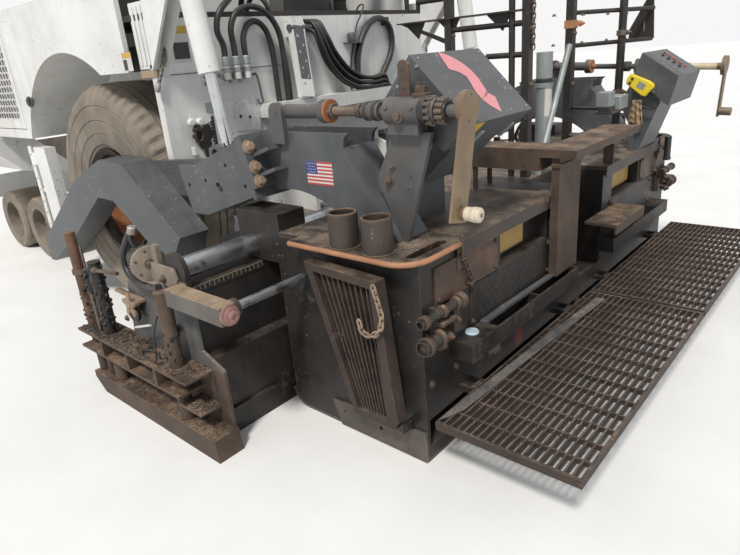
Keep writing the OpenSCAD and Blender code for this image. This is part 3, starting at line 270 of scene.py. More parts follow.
def rustGroup():
    # rust from dark brown to orange, with its pitted height
    inputs = (("Scale", "NodeSocketFloat", 14.0), ("Dark", "NodeSocketColor", (0.030, 0.016, 0.010, 1)),
              ("Light", "NodeSocketColor", (0.26, 0.105, 0.042, 1)))
    outputs = (("Color", "NodeSocketColor"), ("Height", "NodeSocketFloat"))
    group, entry, leave = startGroup("rust", inputs, outputs)
    place = addNode(group, "ShaderNodeTexCoord").outputs["Object"]
    coarse = noiseNode(group, place, entry.outputs["Scale"], 6.0, 0.7, 0.3)
    fine = noiseNode(group, place, mathNode(group, "MULTIPLY", entry.outputs["Scale"], 9.0), 4.0, 0.7)
    tone = mixValue(group, 0.35, coarse, fine)
    colour = mixColour(group, remap(group, tone, 0.36, 0.66), entry.outputs["Dark"], entry.outputs["Light"])
    group.links.new(colour, leave.inputs["Color"])
    group.links.new(fine, leave.inputs["Height"])
    return group


def zoneGroup():
    # a box-shaped patch of a piece, with a wavering edge; Both counts left and right alike
    inputs = (("Low", "NodeSocketVector", (0, 0, 0)), ("High", "NodeSocketVector", (1, 1, 1)),
              ("Soft", "NodeSocketFloat", 0.003), ("Wander", "NodeSocketFloat", 0.0),
              ("Both", "NodeSocketFloat", 1.0))
    group, entry, leave = startGroup("zone", inputs, (("Mask", "NodeSocketFloat"),))
    place = addNode(group, "ShaderNodeTexCoord").outputs["Object"]
    parts = addNode(group, "ShaderNodeSeparateXYZ", {0: place})
    mirrored = mixValue(group, entry.outputs["Both"], parts.outputs["Y"],
                        mathNode(group, "ABSOLUTE", parts.outputs["Y"]))
    folded = addNode(group, "ShaderNodeCombineXYZ",
                     {0: parts.outputs["X"], 1: mirrored, 2: parts.outputs["Z"]})
    grain = remap(group, noiseNode(group, place, 26.0, 4.0, 0.7), 0.2, 0.8, -1.0, 1.0)
    shift = mathNode(group, "MULTIPLY", grain, entry.outputs["Wander"])
    above = addNode(group, "ShaderNodeVectorMath", {0: folded.outputs[0], 1: entry.outputs["Low"]},
                    operation="SUBTRACT").outputs[0]
    below = addNode(group, "ShaderNodeVectorMath", {0: entry.outputs["High"], 1: folded.outputs[0]},
                    operation="SUBTRACT").outputs[0]
    least = addNode(group, "ShaderNodeVectorMath", {0: above, 1: below}, operation="MINIMUM").outputs[0]
    axes = addNode(group, "ShaderNodeSeparateXYZ", {0: least})
    inside = mathNode(group, "MINIMUM", mathNode(group, "MINIMUM", axes.outputs[0], axes.outputs[1]),
                      axes.outputs[2])
    inside = mathNode(group, "DIVIDE", mathNode(group, "ADD", inside, shift), entry.outputs["Soft"])
    group.links.new(mathNode(group, "ADD", inside, 0.5, True), leave.inputs["Mask"])
    return group


def ringGroup():
    # a band between two radii about a crosswise axis, such as the steps of a rim
    inputs = (("Centre", "NodeSocketVector", (0, 0, 0)), ("Inner", "NodeSocketFloat", 0.1),
              ("Outer", "NodeSocketFloat", 0.2), ("Soft", "NodeSocketFloat", 0.004),
              ("Wander", "NodeSocketFloat", 0.0))
    group, entry, leave = startGroup("ring", inputs, (("Mask", "NodeSocketFloat"),))
    place = addNode(group, "ShaderNodeTexCoord").outputs["Object"]
    away = addNode(group, "ShaderNodeVectorMath", {0: place, 1: entry.outputs["Centre"]},
                   operation="SUBTRACT").outputs[0]
    flat = addNode(group, "ShaderNodeVectorMath", {0: away, 1: (1.0, 0.0, 1.0)},
                   operation="MULTIPLY").outputs[0]
    reach = addNode(group, "ShaderNodeVectorMath", {0: flat}, operation="LENGTH").outputs["Value"]
    grain = remap(group, noiseNode(group, place, 22.0, 4.0, 0.7), 0.2, 0.8, -1.0, 1.0)
    reach = mathNode(group, "ADD", reach, mathNode(group, "MULTIPLY", grain, entry.outputs["Wander"]))
    inside = mathNode(group, "MINIMUM", mathNode(group, "SUBTRACT", reach, entry.outputs["Inner"]),
                      mathNode(group, "SUBTRACT", entry.outputs["Outer"], reach))
    inside = mathNode(group, "DIVIDE", inside, entry.outputs["Soft"])
    group.links.new(mathNode(group, "ADD", inside, 0.5, True), leave.inputs["Mask"])
    return group


shared = {
    "edgeWear": edgeWearGroup(),
    "chips": chipsGroup(),
    "streaks": streaksGroup(),
    "dust": dustGroup(),
    "specks": specksGroup(),
    "rust": rustGroup(),
    "zone": zoneGroup(),
    "ring": ringGroup(),
}


def useGroup(tree, name, **sockets):
    node = tree.nodes.new("ShaderNodeGroup")
    node.node_tree = shared[name]
    for label, value in sockets.items():
        node.inputs[label].default_value = value
    return node


# Each finish, from the paint up. Colours are linear.
finishes = {
    "whitePaint": {
        "base": (0.74, 0.735, 0.71), "second": (0.62, 0.615, 0.59), "mottle": 2.2,
        "rough": 0.34, "metal": 0.0, "bump": 0.08,
        "streak": (0.26, 0.20, 0.14), "streakAmount": 0.42, "streakScale": 9.0,
        "chip": (0.060, 0.038, 0.028), "chipAmount": 0.26, "chipScale": 5.0,
        "edge": 0.8, "edgeRadius": 0.004, "bare": (0.14, 0.085, 0.058), "bareMetal": 0.1,
        "dust": (0.42, 0.35, 0.27), "dustAmount": 0.5, "speck": (0.10, 0.085, 0.07), "speckAmount": 0.55,
    },
    "platePaint": {
        "base": (0.056, 0.061, 0.067), "second": (0.098, 0.103, 0.108), "mottle": 3.0,
        "rough": 0.46, "metal": 0.0, "bump": 0.12,
        "streak": (0.12, 0.108, 0.095), "streakAmount": 0.35, "streakScale": 7.0,
        "chip": (0.10, 0.075, 0.058), "chipAmount": 0.26, "chipScale": 6.0,
        "edge": 0.9, "edgeRadius": 0.004, "bare": (0.20, 0.17, 0.145), "bareMetal": 0.4,
        "dust": (0.18, 0.160, 0.135), "dustAmount": 0.5, "speck": (0.42, 0.39, 0.34), "speckAmount": 0.45,
    },
    "screedPaint": {
        "base": (0.010, 0.0095, 0.0095), "second": (0.024, 0.019, 0.016), "mottle": 4.5,
        "rough": 0.50, "metal": 0.0, "bump": 0.28,
        "streak": (0.042, 0.030, 0.023), "streakAmount": 0.7, "streakScale": 10.0,
        "chip": (0.050, 0.032, 0.023), "chipAmount": 0.42, "chipScale": 4.0,
        "edge": 1.0, "edgeRadius": 0.005, "bare": (0.17, 0.115, 0.082), "bareMetal": 0.3,
        "dust": (0.12, 0.095, 0.074), "dustAmount": 0.6, "speck": (0.23, 0.19, 0.15), "speckAmount": 0.35,
    },
    "deckPaint": {
        "base": (0.022, 0.019, 0.0175), "second": (0.058, 0.042, 0.032), "mottle": 3.2,
        "rough": 0.50, "metal": 0.0, "bump": 0.35,
        "streak": (0.085, 0.060, 0.043), "streakAmount": 0.5, "streakScale": 6.0,
        "chip": (0.13, 0.082, 0.054), "chipAmount": 0.52, "chipScale": 3.0,
        "edge": 1.0, "edgeRadius": 0.008, "bare": (0.33, 0.205, 0.135), "bareMetal": 0.3,
        "dust": (0.30, 0.225, 0.165), "dustAmount": 0.95, "speck": (0.30, 0.25, 0.20), "speckAmount": 0.5,
    },
    "rustySteel": {
        "base": (0.026, 0.019, 0.016), "second": (0.055, 0.037, 0.028), "mottle": 6.0,
        "rough": 0.66, "metal": 0.1, "bump": 0.5,
        "streak": (0.05, 0.036, 0.028), "streakAmount": 0.6, "streakScale": 14.0,
        "chip": (0.11, 0.066, 0.044), "chipAmount": 0.42, "chipScale": 8.0,
        "edge": 1.0, "edgeRadius": 0.003, "bare": (0.30, 0.235, 0.185), "bareMetal": 0.35,
        "dust": (0.25, 0.185, 0.135), "dustAmount": 0.8, "speck": (0.03, 0.025, 0.02), "speckAmount": 0.5,
    },
    "brownSteel": {
        "base": (0.045, 0.030, 0.022), "second": (0.100, 0.066, 0.045), "mottle": 5.0,
        "rough": 0.68, "metal": 0.1, "bump": 0.5,
        "streak": (0.040, 0.028, 0.022), "streakAmount": 0.7, "streakScale": 12.0,
        "chip": (0.022, 0.015, 0.012), "chipAmount": 0.45, "chipScale": 6.0,
        "edge": 1.0, "edgeRadius": 0.004, "bare": (0.34, 0.245, 0.185), "bareMetal": 0.3,
        "dust": (0.34, 0.235, 0.155), "dustAmount": 0.9, "speck": (0.02, 0.018, 0.016), "speckAmount": 0.8,
    },
    "wornSteel": {
        "base": (0.075, 0.065, 0.057), "second": (0.150, 0.125, 0.104), "mottle": 5.0,
        "rough": 0.55, "metal": 0.4, "bump": 0.40,
        "streak": (0.05, 0.038, 0.030), "streakAmount": 0.6, "streakScale": 12.0,
        "chip": (0.11, 0.070, 0.048), "chipAmount": 0.4, "chipScale": 6.0,
        "edge": 0.9, "edgeRadius": 0.005, "bare": (0.40, 0.36, 0.31), "bareMetal": 0.8,
        "dust": (0.22, 0.18, 0.145), "dustAmount": 0.6, "speck": (0.02, 0.018, 0.016), "speckAmount": 0.6,
    },
    "crankBrass": {
        "base": (0.21, 0.150, 0.090), "second": (0.15, 0.105, 0.066), "mottle": 2.4,
        "rough": 0.42, "metal": 0.5, "bump": 0.15,
        "streak": (0.11, 0.080, 0.055), "streakAmount": 0.4, "streakScale": 7.0,
        "chip": (0.10, 0.070, 0.048), "chipAmount": 0.2, "chipScale": 9.0,
        "edge": 0.9, "edgeRadius": 0.003, "bare": (0.46, 0.37, 0.28), "bareMetal": 0.7,
        "dust": (0.26, 0.22, 0.17), "dustAmount": 0.3, "speck": (0.05, 0.04, 0.03), "speckAmount": 0.5,
    },
    "greyPaint": {
        "base": (0.060, 0.060, 0.062), "second": (0.10, 0.095, 0.09), "mottle": 3.0,
        "rough": 0.55, "metal": 0.0, "bump": 0.2,
        "streak": (0.06, 0.045, 0.035), "streakAmount": 0.5, "streakScale": 8.0,
        "chip": (0.10, 0.070, 0.050), "chipAmount": 0.3, "chipScale": 5.0,
        "edge": 0.8, "edgeRadius": 0.005, "bare": (0.20, 0.155, 0.12), "bareMetal": 0.3,
        "dust": (0.26, 0.22, 0.18), "dustAmount": 0.7, "speck": (0.25, 0.22, 0.18), "speckAmount": 0.4,
    },
    "zincSteel": {
        "base": (0.34, 0.37, 0.36), "second": (0.24, 0.26, 0.26), "mottle": 3.5,
        "rough": 0.45, "metal": 0.3, "bump": 0.15,
        "streak": (0.16, 0.13, 0.10), "streakAmount": 0.5, "streakScale": 8.0,
        "chip": (0.10, 0.075, 0.055), "chipAmount": 0.3, "chipScale": 6.0,
        "edge": 0.6, "edgeRadius": 0.003, "bare": (0.30, 0.27, 0.24), "bareMetal": 0.4,
        "dust": (0.32, 0.28, 0.23), "dustAmount": 0.5, "speck": (0.08, 0.07, 0.06), "speckAmount": 0.5,
    },
    "rimPaint": {
        "base": (0.34, 0.135, 0.045), "second": (0.17, 0.068, 0.030), "mottle": 5.0,
        "rough": 0.62, "metal": 0.1, "bump": 0.35,
        "streak": (0.05, 0.032, 0.022), "streakAmount": 0.7, "streakScale": 9.0,
        "chip": (0.045, 0.028, 0.020), "chipAmount": 0.42, "chipScale": 5.0,
        "edge": 0.8, "edgeRadius": 0.005, "bare": (0.30, 0.16, 0.085), "bareMetal": 0.2,
        "dust": (0.28, 0.22, 0.16), "dustAmount": 0.6, "speck": (0.03, 0.025, 0.02), "speckAmount": 0.6,
    },
    "tyreRubber": {
        "base": (0.17, 0.142, 0.112), "second": (0.26, 0.222, 0.178), "mottle": 4.0,
        "rough": 0.88, "metal": 0.0, "bump": 0.5,
        "streak": (0.045, 0.040, 0.035), "streakAmount": 0.4, "streakScale": 10.0,
        "chip": (0.05, 0.046, 0.042), "chipAmount": 0.3, "chipScale": 9.0,
        "edge": 0.6, "edgeRadius": 0.008, "bare": (0.16, 0.145, 0.125), "bareMetal": 0.0,
        "dust": (0.34, 0.27, 0.20), "dustAmount": 0.7, "speck": (0.24, 0.21, 0.17), "speckAmount": 0.4,
    },
    "seatVinyl": {
        "base": (0.018, 0.018, 0.019), "second": (0.035, 0.034, 0.033), "mottle": 5.0,
        "rough": 0.5, "metal": 0.0, "bump": 0.25,
        "streak": (0.06, 0.05, 0.04), "streakAmount": 0.3, "streakScale": 8.0,
        "chip": (0.06, 0.055, 0.05), "chipAmount": 0.2, "chipScale": 7.0,
        "edge": 0.3, "edgeRadius": 0.01, "bare": (0.07, 0.065, 0.06), "bareMetal": 0.0,
        "dust": (0.25, 0.21, 0.17), "dustAmount": 0.4, "speck": (0.2, 0.18, 0.15), "speckAmount": 0.3,
    },
}


def plainLook(base, second, **changes):
    # a finish that shares most of its values with others of its kind
    look = {
        "base": base, "second": second, "mottle": 5.0, "rough": 0.6, "metal": 0.0, "bump": 0.3,
        "streak": (0.08, 0.06, 0.045), "streakAmount": 0.35, "streakScale": 10.0,
        "chip": (0.07, 0.05, 0.036), "chipAmount": 0.25, "chipScale": 8.0,
        "edge": 0.6, "edgeRadius": 0.003, "bare": (0.24, 0.19, 0.15), "bareMetal": 0.3,
        "dust": (0.24, 0.20, 0.16), "dustAmount": 0.5, "speck": (0.04, 0.034, 0.028), "speckAmount": 0.5,
    }
    look.update(changes)
    return look


finishes["hoseRubber"] = plainLook((0.010, 0.010, 0.011), (0.022, 0.021, 0.021), rough=0.42, edge=0.1,
                                   chipAmount=0.1, speckAmount=0.3)
finishes["signYellow"] = plainLook((0.62, 0.40, 0.045), (0.50, 0.32, 0.05), rough=0.5, bump=0.1,
                                   chipAmount=0.36, chip=(0.05, 0.035, 0.02), streakAmount=0.5)
finishes["signOchre"] = plainLook((0.50, 0.31, 0.085), (0.40, 0.27, 0.10), rough=0.55, bump=0.12,
                                  chipAmount=0.40, chip=(0.035, 0.024, 0.016), streakAmount=0.6)
finishes["signWhite"] = plainLook((0.66, 0.65, 0.61), (0.56, 0.54, 0.50), rough=0.45, bump=0.06,
                                  chipAmount=0.2, streakAmount=0.4)
finishes["signBlack"] = plainLook((0.014, 0.014, 0.015), (0.030, 0.029, 0.028), rough=0.45, bump=0.08)
finishes["pinkPaint"] = plainLook((0.70, 0.28, 0.30), (0.62, 0.25, 0.27), rough=0.5, bump=0.08,
                                  chipAmount=0.16, chip=(0.10, 0.05, 0.05), streakAmount=0.15,
                                  dustAmount=0.15, speckAmount=0.25, edge=0.1)
finishes["ivoryPlastic"] = plainLook((0.62, 0.56, 0.44), (0.52, 0.43, 0.28), rough=0.38, bump=0.06,
                                     chipAmount=0.16, edge=0.1)
finishes["orangeRust"] = plainLook((0.42, 0.20, 0.10), (0.27, 0.12, 0.06), rough=0.6, bump=0.5,
                                   chipAmount=0.30, chip=(0.10, 0.055, 0.035), edge=0.5,
                                   bare=(0.55, 0.33, 0.20))
finishes["tar"] = plainLook((0.0065, 0.006, 0.006), (0.016, 0.014, 0.013), rough=0.42, bump=0.9, mottle=12.0,
                            dustAmount=0.18, edge=0.15, chipAmount=0.12)
finishes["crumb"] = plainLook((0.016, 0.014, 0.0125), (0.060, 0.050, 0.041), rough=0.7, bump=0.9,
                              mottle=30.0, dustAmount=0.35, edge=0.3)
finishes["ropeWire"] = plainLook((0.12, 0.11, 0.10), (0.20, 0.18, 0.155), rough=0.45, metal=0.6, bump=0.3)
finishes["pendantYellow"] = plainLook((0.78, 0.58, 0.02), (0.70, 0.52, 0.03), rough=0.4, bump=0.05,
                                      chipAmount=0.14, streakAmount=0.15, dustAmount=0.2)
finishes["ragCloth"] = plainLook((0.36, 0.25, 0.15), (0.26, 0.18, 0.11), rough=0.95, bump=0.6, mottle=30.0)
finishes["flagRed"] = plainLook((0.48, 0.045, 0.045), (0.42, 0.05, 0.05), rough=0.45, bump=0.05,
                                chipAmount=0.12, dustAmount=0.2)
finishes["flagBlue"] = plainLook((0.030, 0.045, 0.20), (0.035, 0.05, 0.17), rough=0.45, bump=0.05,
                                 chipAmount=0.12, dustAmount=0.2)
finishes["boltSteel"] = plainLook((0.16, 0.125, 0.10), (0.09, 0.066, 0.05), rough=0.5, metal=0.5, bump=0.4,
                                  edge=0.8, bare=(0.42, 0.37, 0.32), bareMetal=0.7)
finishes["brightBolt"] = plainLook((0.46, 0.44, 0.41), (0.33, 0.30, 0.27), rough=0.35, metal=0.7, bump=0.2)
finishes["blueCap"] = plainLook((0.55, 0.66, 0.72), (0.42, 0.52, 0.60), rough=0.3, bump=0.1)

finishes["castTan"] = plainLook((0.20, 0.165, 0.125), (0.29, 0.245, 0.19), rough=0.8, bump=0.8, mottle=14.0,
                                dustAmount=0.4)
finishes["tarnishedTan"] = plainLook((0.34, 0.25, 0.165), (0.20, 0.14, 0.095), rough=0.7, bump=0.5)
finishes["nutPink"] = plainLook((0.34, 0.19, 0.165), (0.20, 0.11, 0.095), rough=0.5, bump=0.4, metal=0.2,
                                bare=(0.55, 0.42, 0.38))
finishes["caseBlack"] = plainLook((0.018, 0.018, 0.020), (0.034, 0.033, 0.033), rough=0.35, bump=0.1)

# patches of other colours on one piece, as boxes or as rings
darkTar = {"colour": (0.007, 0.0065, 0.006), "second": (0.026, 0.023, 0.020), "rough": 0.45, "soft": 0.006}
finishes["gatePaint"] = {**finishes["brownSteel"], "zones": [
    {"low": (0.3, 1.90, 0.39), "high": (1.95, 1.947, 0.90), "colour": (0.080, 0.084, 0.088),
     "second": (0.13, 0.128, 0.122), "rough": 0.5},
    {"low": (1.62, 1.955, 0.395), "high": (1.83, 2.08, 0.80), "wander": 0.012, **darkTar},
    {"low": (1.845, 1.955, 0.39), "high": (1.92, 2.08, 0.93), "colour": (0.17, 0.085, 0.05),
     "second": (0.075, 0.045, 0.030), "wander": 0.01},
    {"low": (1.30, 1.955, 0.28), "high": (1.50, 2.00, 0.64), "wander": 0.01, **darkTar},
]}
finishes["framePaint"] = {**finishes["screedPaint"], "zones": [
    {"low": (-0.02, 0.95, 0.698), "high": (0.001, 1.44, 0.856), "colour": (0.060, 0.036, 0.024),
     "second": (0.110, 0.066, 0.042), "rough": 0.6},
    {"low": (-0.02, 0.92, 0.27), "high": (0.02, 1.03, 0.42), "colour": (0.30, 0.27, 0.23),
     "wander": 0.03, "soft": 0.010, "both": 0.0, "amount": 0.55},
    {"low": (-0.02, 0.70, 0.22), "high": (0.02, 0.76, 0.31), "colour": (0.26, 0.03, 0.02),
     "wander": 0.03, "soft": 0.010, "both": 0.0, "amount": 0.6},
]}
finishes["armTop"] = {**finishes["screedPaint"], "zones": [
    {"low": (0.58, 1.950, 0.774), "high": (0.985, 2.035, 0.79), "colour": (0.36, 0.26, 0.17),
     "second": (0.24, 0.17, 0.11), "rough": 0.75},
    {"low": (0.58, 1.950, 0.690), "high": (0.985, 2.035, 0.774), "colour": (0.125, 0.112, 0.098),
     "second": (0.080, 0.070, 0.060), "rough": 0.6},
]}
finishes["screwPaint"] = {**finishes["greyPaint"], "zones": [
    {"low": (-0.141, 0.0, 0.9), "high": (-0.098, 2.0, 1.8), "colour": (0.25, 0.180, 0.105),
     "second": (0.18, 0.125, 0.076), "rough": 0.4, "metal": 0.4},
    {"low": (-0.30, 0.0, 0.9), "high": (-0.141, 2.0, 1.8), "colour": (0.66, 0.60, 0.47),
     "second": (0.50, 0.40, 0.25), "rough": 0.35, "metal": 0.0},
    {"low": (-0.60, -2.0, 0.9), "high": (-0.30, 0.0, 1.8), "both": 0.0, "colour": (0.22, 0.16, 0.10),
     "second": (0.12, 0.085, 0.055), "rough": 0.5, "metal": 0.3},
    {"low": (0.49, 0.0, 1.2), "high": (0.53, 2.0, 1.7), "colour": (0.33, 0.12, 0.045)},
]}
rimCentre = tuple(at(2.85, 0, 0.8))
finishes["rimRings"] = {**finishes["rimPaint"], "zones": [
    # the first zone paints the rim's ring inside the tyre near black: painted shade; the second is the hub's
    # own dark brown
    {"low": (2.0, 1.215, 0.0), "high": (3.7, 1.31, 1.7), "colour": (0.012, 0.010, 0.009),
     "second": (0.035, 0.022, 0.015), "wander": 0.010},
    {"centre": rimCentre, "inner": -0.1, "outer": 0.12, "colour": (0.030, 0.019, 0.013),
     "second": (0.085, 0.045, 0.025), "wander": 0.006},
]}


def paintedMetal(name, look):
    material = bpy.data.materials.new(name)
    material.use_nodes = True
    tree = material.node_tree
    shader = tree.nodes["Principled BSDF"]
    place = addNode(tree, "ShaderNodeTexCoord").outputs["Object"]
    coarse = noiseNode(tree, place, look["mottle"], 7.0, 0.68, 0.25)
    fine = noiseNode(tree, place, look["mottle"] * 22, 4.0, 0.7)
    colour = mixColour(tree, remap(tree, coarse, 0.38, 0.64), look["base"], look["second"])
    rough = mathNode(tree, "ADD", remap(tree, coarse, 0.3, 0.7, -0.07, 0.10), look["rough"])
    metalBase = look["metal"]
    for zone in look.get("zones", ()):
        if "centre" in zone:
            mask = useGroup(tree, "ring", Centre=zone["centre"], Inner=zone["inner"], Outer=zone["outer"],
                            Soft=zone.get("soft", 0.004), Wander=zone.get("wander", 0.0)).outputs[0]
        else:
            mask = useGroup(tree, "zone", Low=at(*zone["low"]), High=at(*zone["high"]),
                            Soft=zone.get("soft", 0.003), Wander=zone.get("wander", 0.0),
                            Both=zone.get("both", 1.0)).outputs[0]
        if "amount" in zone:
            mask = mathNode(tree, "MULTIPLY", mask, zone["amount"])
        tone = mixColour(tree, remap(tree, coarse, 0.40, 0.62), zone["colour"],
                         zone.get("second", zone["colour"]))
        colour = mixColour(tree, mask, colour, tone)
        if "rough" in zone:
            rough = mixValue(tree, mask, rough, zone["rough"])
        if "metal" in zone:
            metalBase = mixValue(tree, mask, metalBase, zone["metal"])
    streak = useGroup(tree, "streaks", Scale=look["streakScale"], Amount=look["streakAmount"]).outputs[0]
    colour = mixColour(tree, streak, colour, look["streak"])
    dust = useGroup(tree, "dust", Amount=look["dustAmount"]).outputs[0]
    colour = mixColour(tree, dust, colour, look["dust"])
    rough = mixValue(tree, dust, rough, 0.9)
    speck = useGroup(tree, "specks", Amount=look["speckAmount"]).outputs[0]
    colour = mixColour(tree, speck, colour, look["speck"])
    rusty = useGroup(tree, "rust", Light=(*look["bare"], 1))
    chip = useGroup(tree, "chips", Scale=look["chipScale"], Amount=look["chipAmount"]).outputs[0]
    worn = useGroup(tree, "edgeWear", Radius=look["edgeRadius"], Amount=look["edge"]).outputs[0]
    chipTone = mixColour(tree, 0.25, look["chip"], rusty.outputs["Color"])
    colour = mixColour(tree, chip, colour, chipTone)
    bareTone = mixColour(tree, 0.30, look["bare"], rusty.outputs["Color"])
    colour = mixColour(tree, worn, colour, bareTone)
    gone = mathNode(tree, "MAXIMUM", chip, worn)
    rough = mixValue(tree, gone, rough, 0.62)
    metal = mixValue(tree, worn, metalBase, look["bareMetal"])
    sunk = mathNode(tree, "MULTIPLY", gone, 0.35)
    height = mathNode(tree, "SUBTRACT", mathNode(tree, "MULTIPLY", fine, 0.5), sunk)
    height = mathNode(tree, "ADD", height, mathNode(tree, "MULTIPLY", speck, 0.4))
    bump = addNode(tree, "ShaderNodeBump", {"Height": height, "Strength": look["bump"], "Distance": 0.004})
    tree.links.new(colour, shader.inputs["Base Color"])
    tree.links.new(rough, shader.inputs["Roughness"])
    tree.links.new(metal, shader.inputs["Metallic"])
    tree.links.new(bump.outputs[0], shader.inputs["Normal"])
    return material


def brightSteel(name, base, rough, smear):
    # hard chrome with an oily film and fine scratches along the rod
    material = bpy.data.materials.new(name)
    material.use_nodes = True
    tree = material.node_tree
    shader = tree.nodes["Principled BSDF"]
    place = addNode(tree, "ShaderNodeTexCoord").outputs["Object"]
    film = noiseNode(tree, place, 9.0, 5.0, 0.6, 0.5)
    fine = noiseNode(tree, place, 160.0, 3.0, 0.7)
    mask = mathNode(tree, "MULTIPLY", remap(tree, film, 0.46, 0.70), smear, True)
    colour = mixColour(tree, mask, base, (0.10, 0.085, 0.07))
    tree.links.new(colour, shader.inputs["Base Color"])
    tree.links.new(mixValue(tree, mask, rough, 0.55), shader.inputs["Roughness"])
    tree.links.new(mixValue(tree, mask, 1.0, 0.3), shader.inputs["Metallic"])
    bump = addNode(tree, "ShaderNodeBump", {"Height": fine, "Strength": 0.06, "Distance": 0.001})
    tree.links.new(bump.outputs[0], shader.inputs["Normal"])
    return material


materials = {name: paintedMetal(name, look) for name, look in finishes.items()}
materials["rodChrome"] = brightSteel("rodChrome", (0.62, 0.63, 0.65), 0.16, 0.22)
materials["tubeSteel"] = brightSteel("tubeSteel", (0.42, 0.43, 0.45), 0.28, 0.8)
print("materials made:", len(materials))

# which finish each carried-over piece gets
nodeFinish = {
    "chassis": "whitePaint", "rear_bulkhead": "whitePaint", "hopper_crossbeam": "whitePaint",
    "push_beam": "whitePaint", "tow_slides": "whitePaint", "railings": "screedPaint",
    "engine_housing": "whitePaint", "engine_door_left": "whitePaint", "engine_door_right": "whitePaint",
    "platform": "screedPaint", "hopper_wing_left": "whitePaint", "hopper_wing_right": "whitePaint",
    "lift_barrel_left": "whitePaint", "lift_barrel_right": "whitePaint",
    "engine": "greyPaint", "auger_frame": "greyPaint", "axles": "greyPaint", "consoles": "greyPaint",
    "knuckle_front_left": "greyPaint", "knuckle_rear_left": "greyPaint",
    "knuckle_front_right": "greyPaint", "knuckle_rear_right": "greyPaint",
    "rear_tyre_left": "tyreRubber", "rear_tyre_right": "tyreRubber",
    "wheel_front_left": "tyreRubber", "wheel_rear_left": "tyreRubber",
    "wheel_front_right": "tyreRubber", "wheel_rear_right": "tyreRubber",
    "rear_rim_left": "rimRings", "rear_rim_right": "rimRings",
    "conveyors": "wornSteel", "auger_left": "wornSteel", "auger_right": "wornSteel",
    "push_roller_left": "wornSteel", "push_roller_right": "wornSteel", "sole_plates": "wornSteel",
    "hopper_apron": "wornSteel",
    "tow_arms": "platePaint", "screed_brackets": "platePaint", "control_boxes": "platePaint",
    "thickness_screws": "screwPaint", "centre_frame": "screedPaint", "centre_steps": "brownSteel",
    "tool_posts": "zincSteel",
    "screed_frame": "framePaint", "screed_deck": "deckPaint", "rear_trays": "screedPaint",
    "walkway_left": "rustySteel", "walkway_right": "rustySteel",
    "end_step_left": "rustySteel", "end_step_right": "rustySteel",
    "extension_left": "armTop", "extension_right": "armTop",
    "end_gate_left": "gatePaint", "end_gate_right": "gatePaint",
    "guide_tube_left": "tubeSteel", "guide_tube_right": "tubeSteel",
    "lift_rod_left": "rodChrome", "lift_rod_right": "rodChrome",
    "seats": "seatVinyl",
}
for name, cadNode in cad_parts.items():
    cadNode.data.materials.clear()
    cadNode.data.materials.append(materials[nodeFinish[name]])
print("finishes placed")


# mesh helpers
chance = random.Random(7)
bothSides = ((1, "left"), (-1, "right"))


def slab(mesh, xs, ys, zs, turn=None, about=None):
    corners = [at(x, y, z) for x in xs for y in ys for z in zs]
    if turn is not None:
        hinge = at(*about)
        corners = [hinge + turn @ (corner - hinge) for corner in corners]
    verts = [mesh.verts.new(corner) for corner in corners]
    for face in ((0, 1, 3, 2), (4, 6, 7, 5), (0, 4, 5, 1), (2, 3, 7, 6), (0, 2, 6, 4), (1, 5, 7, 3)):
        mesh.faces.new([verts[i] for i in face])


def plate(mesh, outline, along, thick):
    # outline: points in space, in order; pushed along a direction by its thickness
    push = Vector(along).normalized() * thick
    near = [mesh.verts.new(at(*point)) for point in outline]
    far = [mesh.verts.new(at(*point) + push) for point in outline]
    mesh.faces.new(near[::-1])
    mesh.faces.new(far)
    for i in range(len(near)):
        j = (i + 1) % len(near)
        mesh.faces.new((near[i], near[j], far[j], far[i]))


def smoothPath(points, steps=6):
    # a curve through the points, Catmull-Rom
    path = []
    ends = [points[0] * 2 - points[1]] + list(points) + [points[-1] * 2 - points[-2]]
    for i in range(1, len(ends) - 2):
        a, b, c, d = ends[i - 1:i + 3]
        for k in range(steps):
            t = k / steps
            path.append(0.5 * ((2 * b) + (c - a) * t + (2 * a - 5 * b + 4 * c - d) * t * t
                               + (3 * b - a - 3 * c + d) * t ** 3))
    path.append(points[-1].copy())
    return path


def pipe(mesh, path, radius, sides=12, closed=False):
    count = len(path)
    ahead = [(path[(i + 1) % count] - path[i - 1]) if closed or 0 < i < count - 1
             else (path[1] - path[0] if i == 0 else path[-1] - path[-2]) for i in range(count)]
    ahead = [way.normalized() for way in ahead]
    side = ahead[0].orthogonal().normalized()
    rings = []
    for i in range(count):
        side = (side - ahead[i] * side.dot(ahead[i])).normalized()
        other = ahead[i].cross(side)
        rings.append([mesh.verts.new(path[i] + (side * math.cos(2 * math.pi * k / sides)
                                                + other * math.sin(2 * math.pi * k / sides)) * radius)
                      for k in range(sides)])
    for i in range(count if closed else count - 1):
        near, far = rings[i], rings[(i + 1) % count]
        for k in range(sides):
            mesh.faces.new((near[k], near[(k + 1) % sides], far[(k + 1) % sides], far[k]))
    if not closed:
        mesh.faces.new(rings[0][::-1])
        mesh.faces.new(rings[-1])


def lathe(mesh, profile, place, axis, sides=20, phase=0.0):
    # profile: (radius, distance along the axis) from one end to the other
    axis = Vector(axis).normalized()
    side = axis.orthogonal().normalized()
    other = axis.cross(side)
    rings = []
    for radius, along in profile:
        middlePoint = Vector(place) + axis * along
        angles = [2 * math.pi * k / sides + phase for k in range(sides)]
        rings.append([mesh.verts.new(middlePoint + (side * math.cos(a) + other * math.sin(a)) * radius)
                      for a in angles])
    for near, far in zip(rings, rings[1:]):
        for k in range(sides):
            mesh.faces.new((near[k], near[(k + 1) % sides], far[(k + 1) % sides], far[k]))
    mesh.faces.new(rings[0][::-1])
    mesh.faces.new(rings[-1])


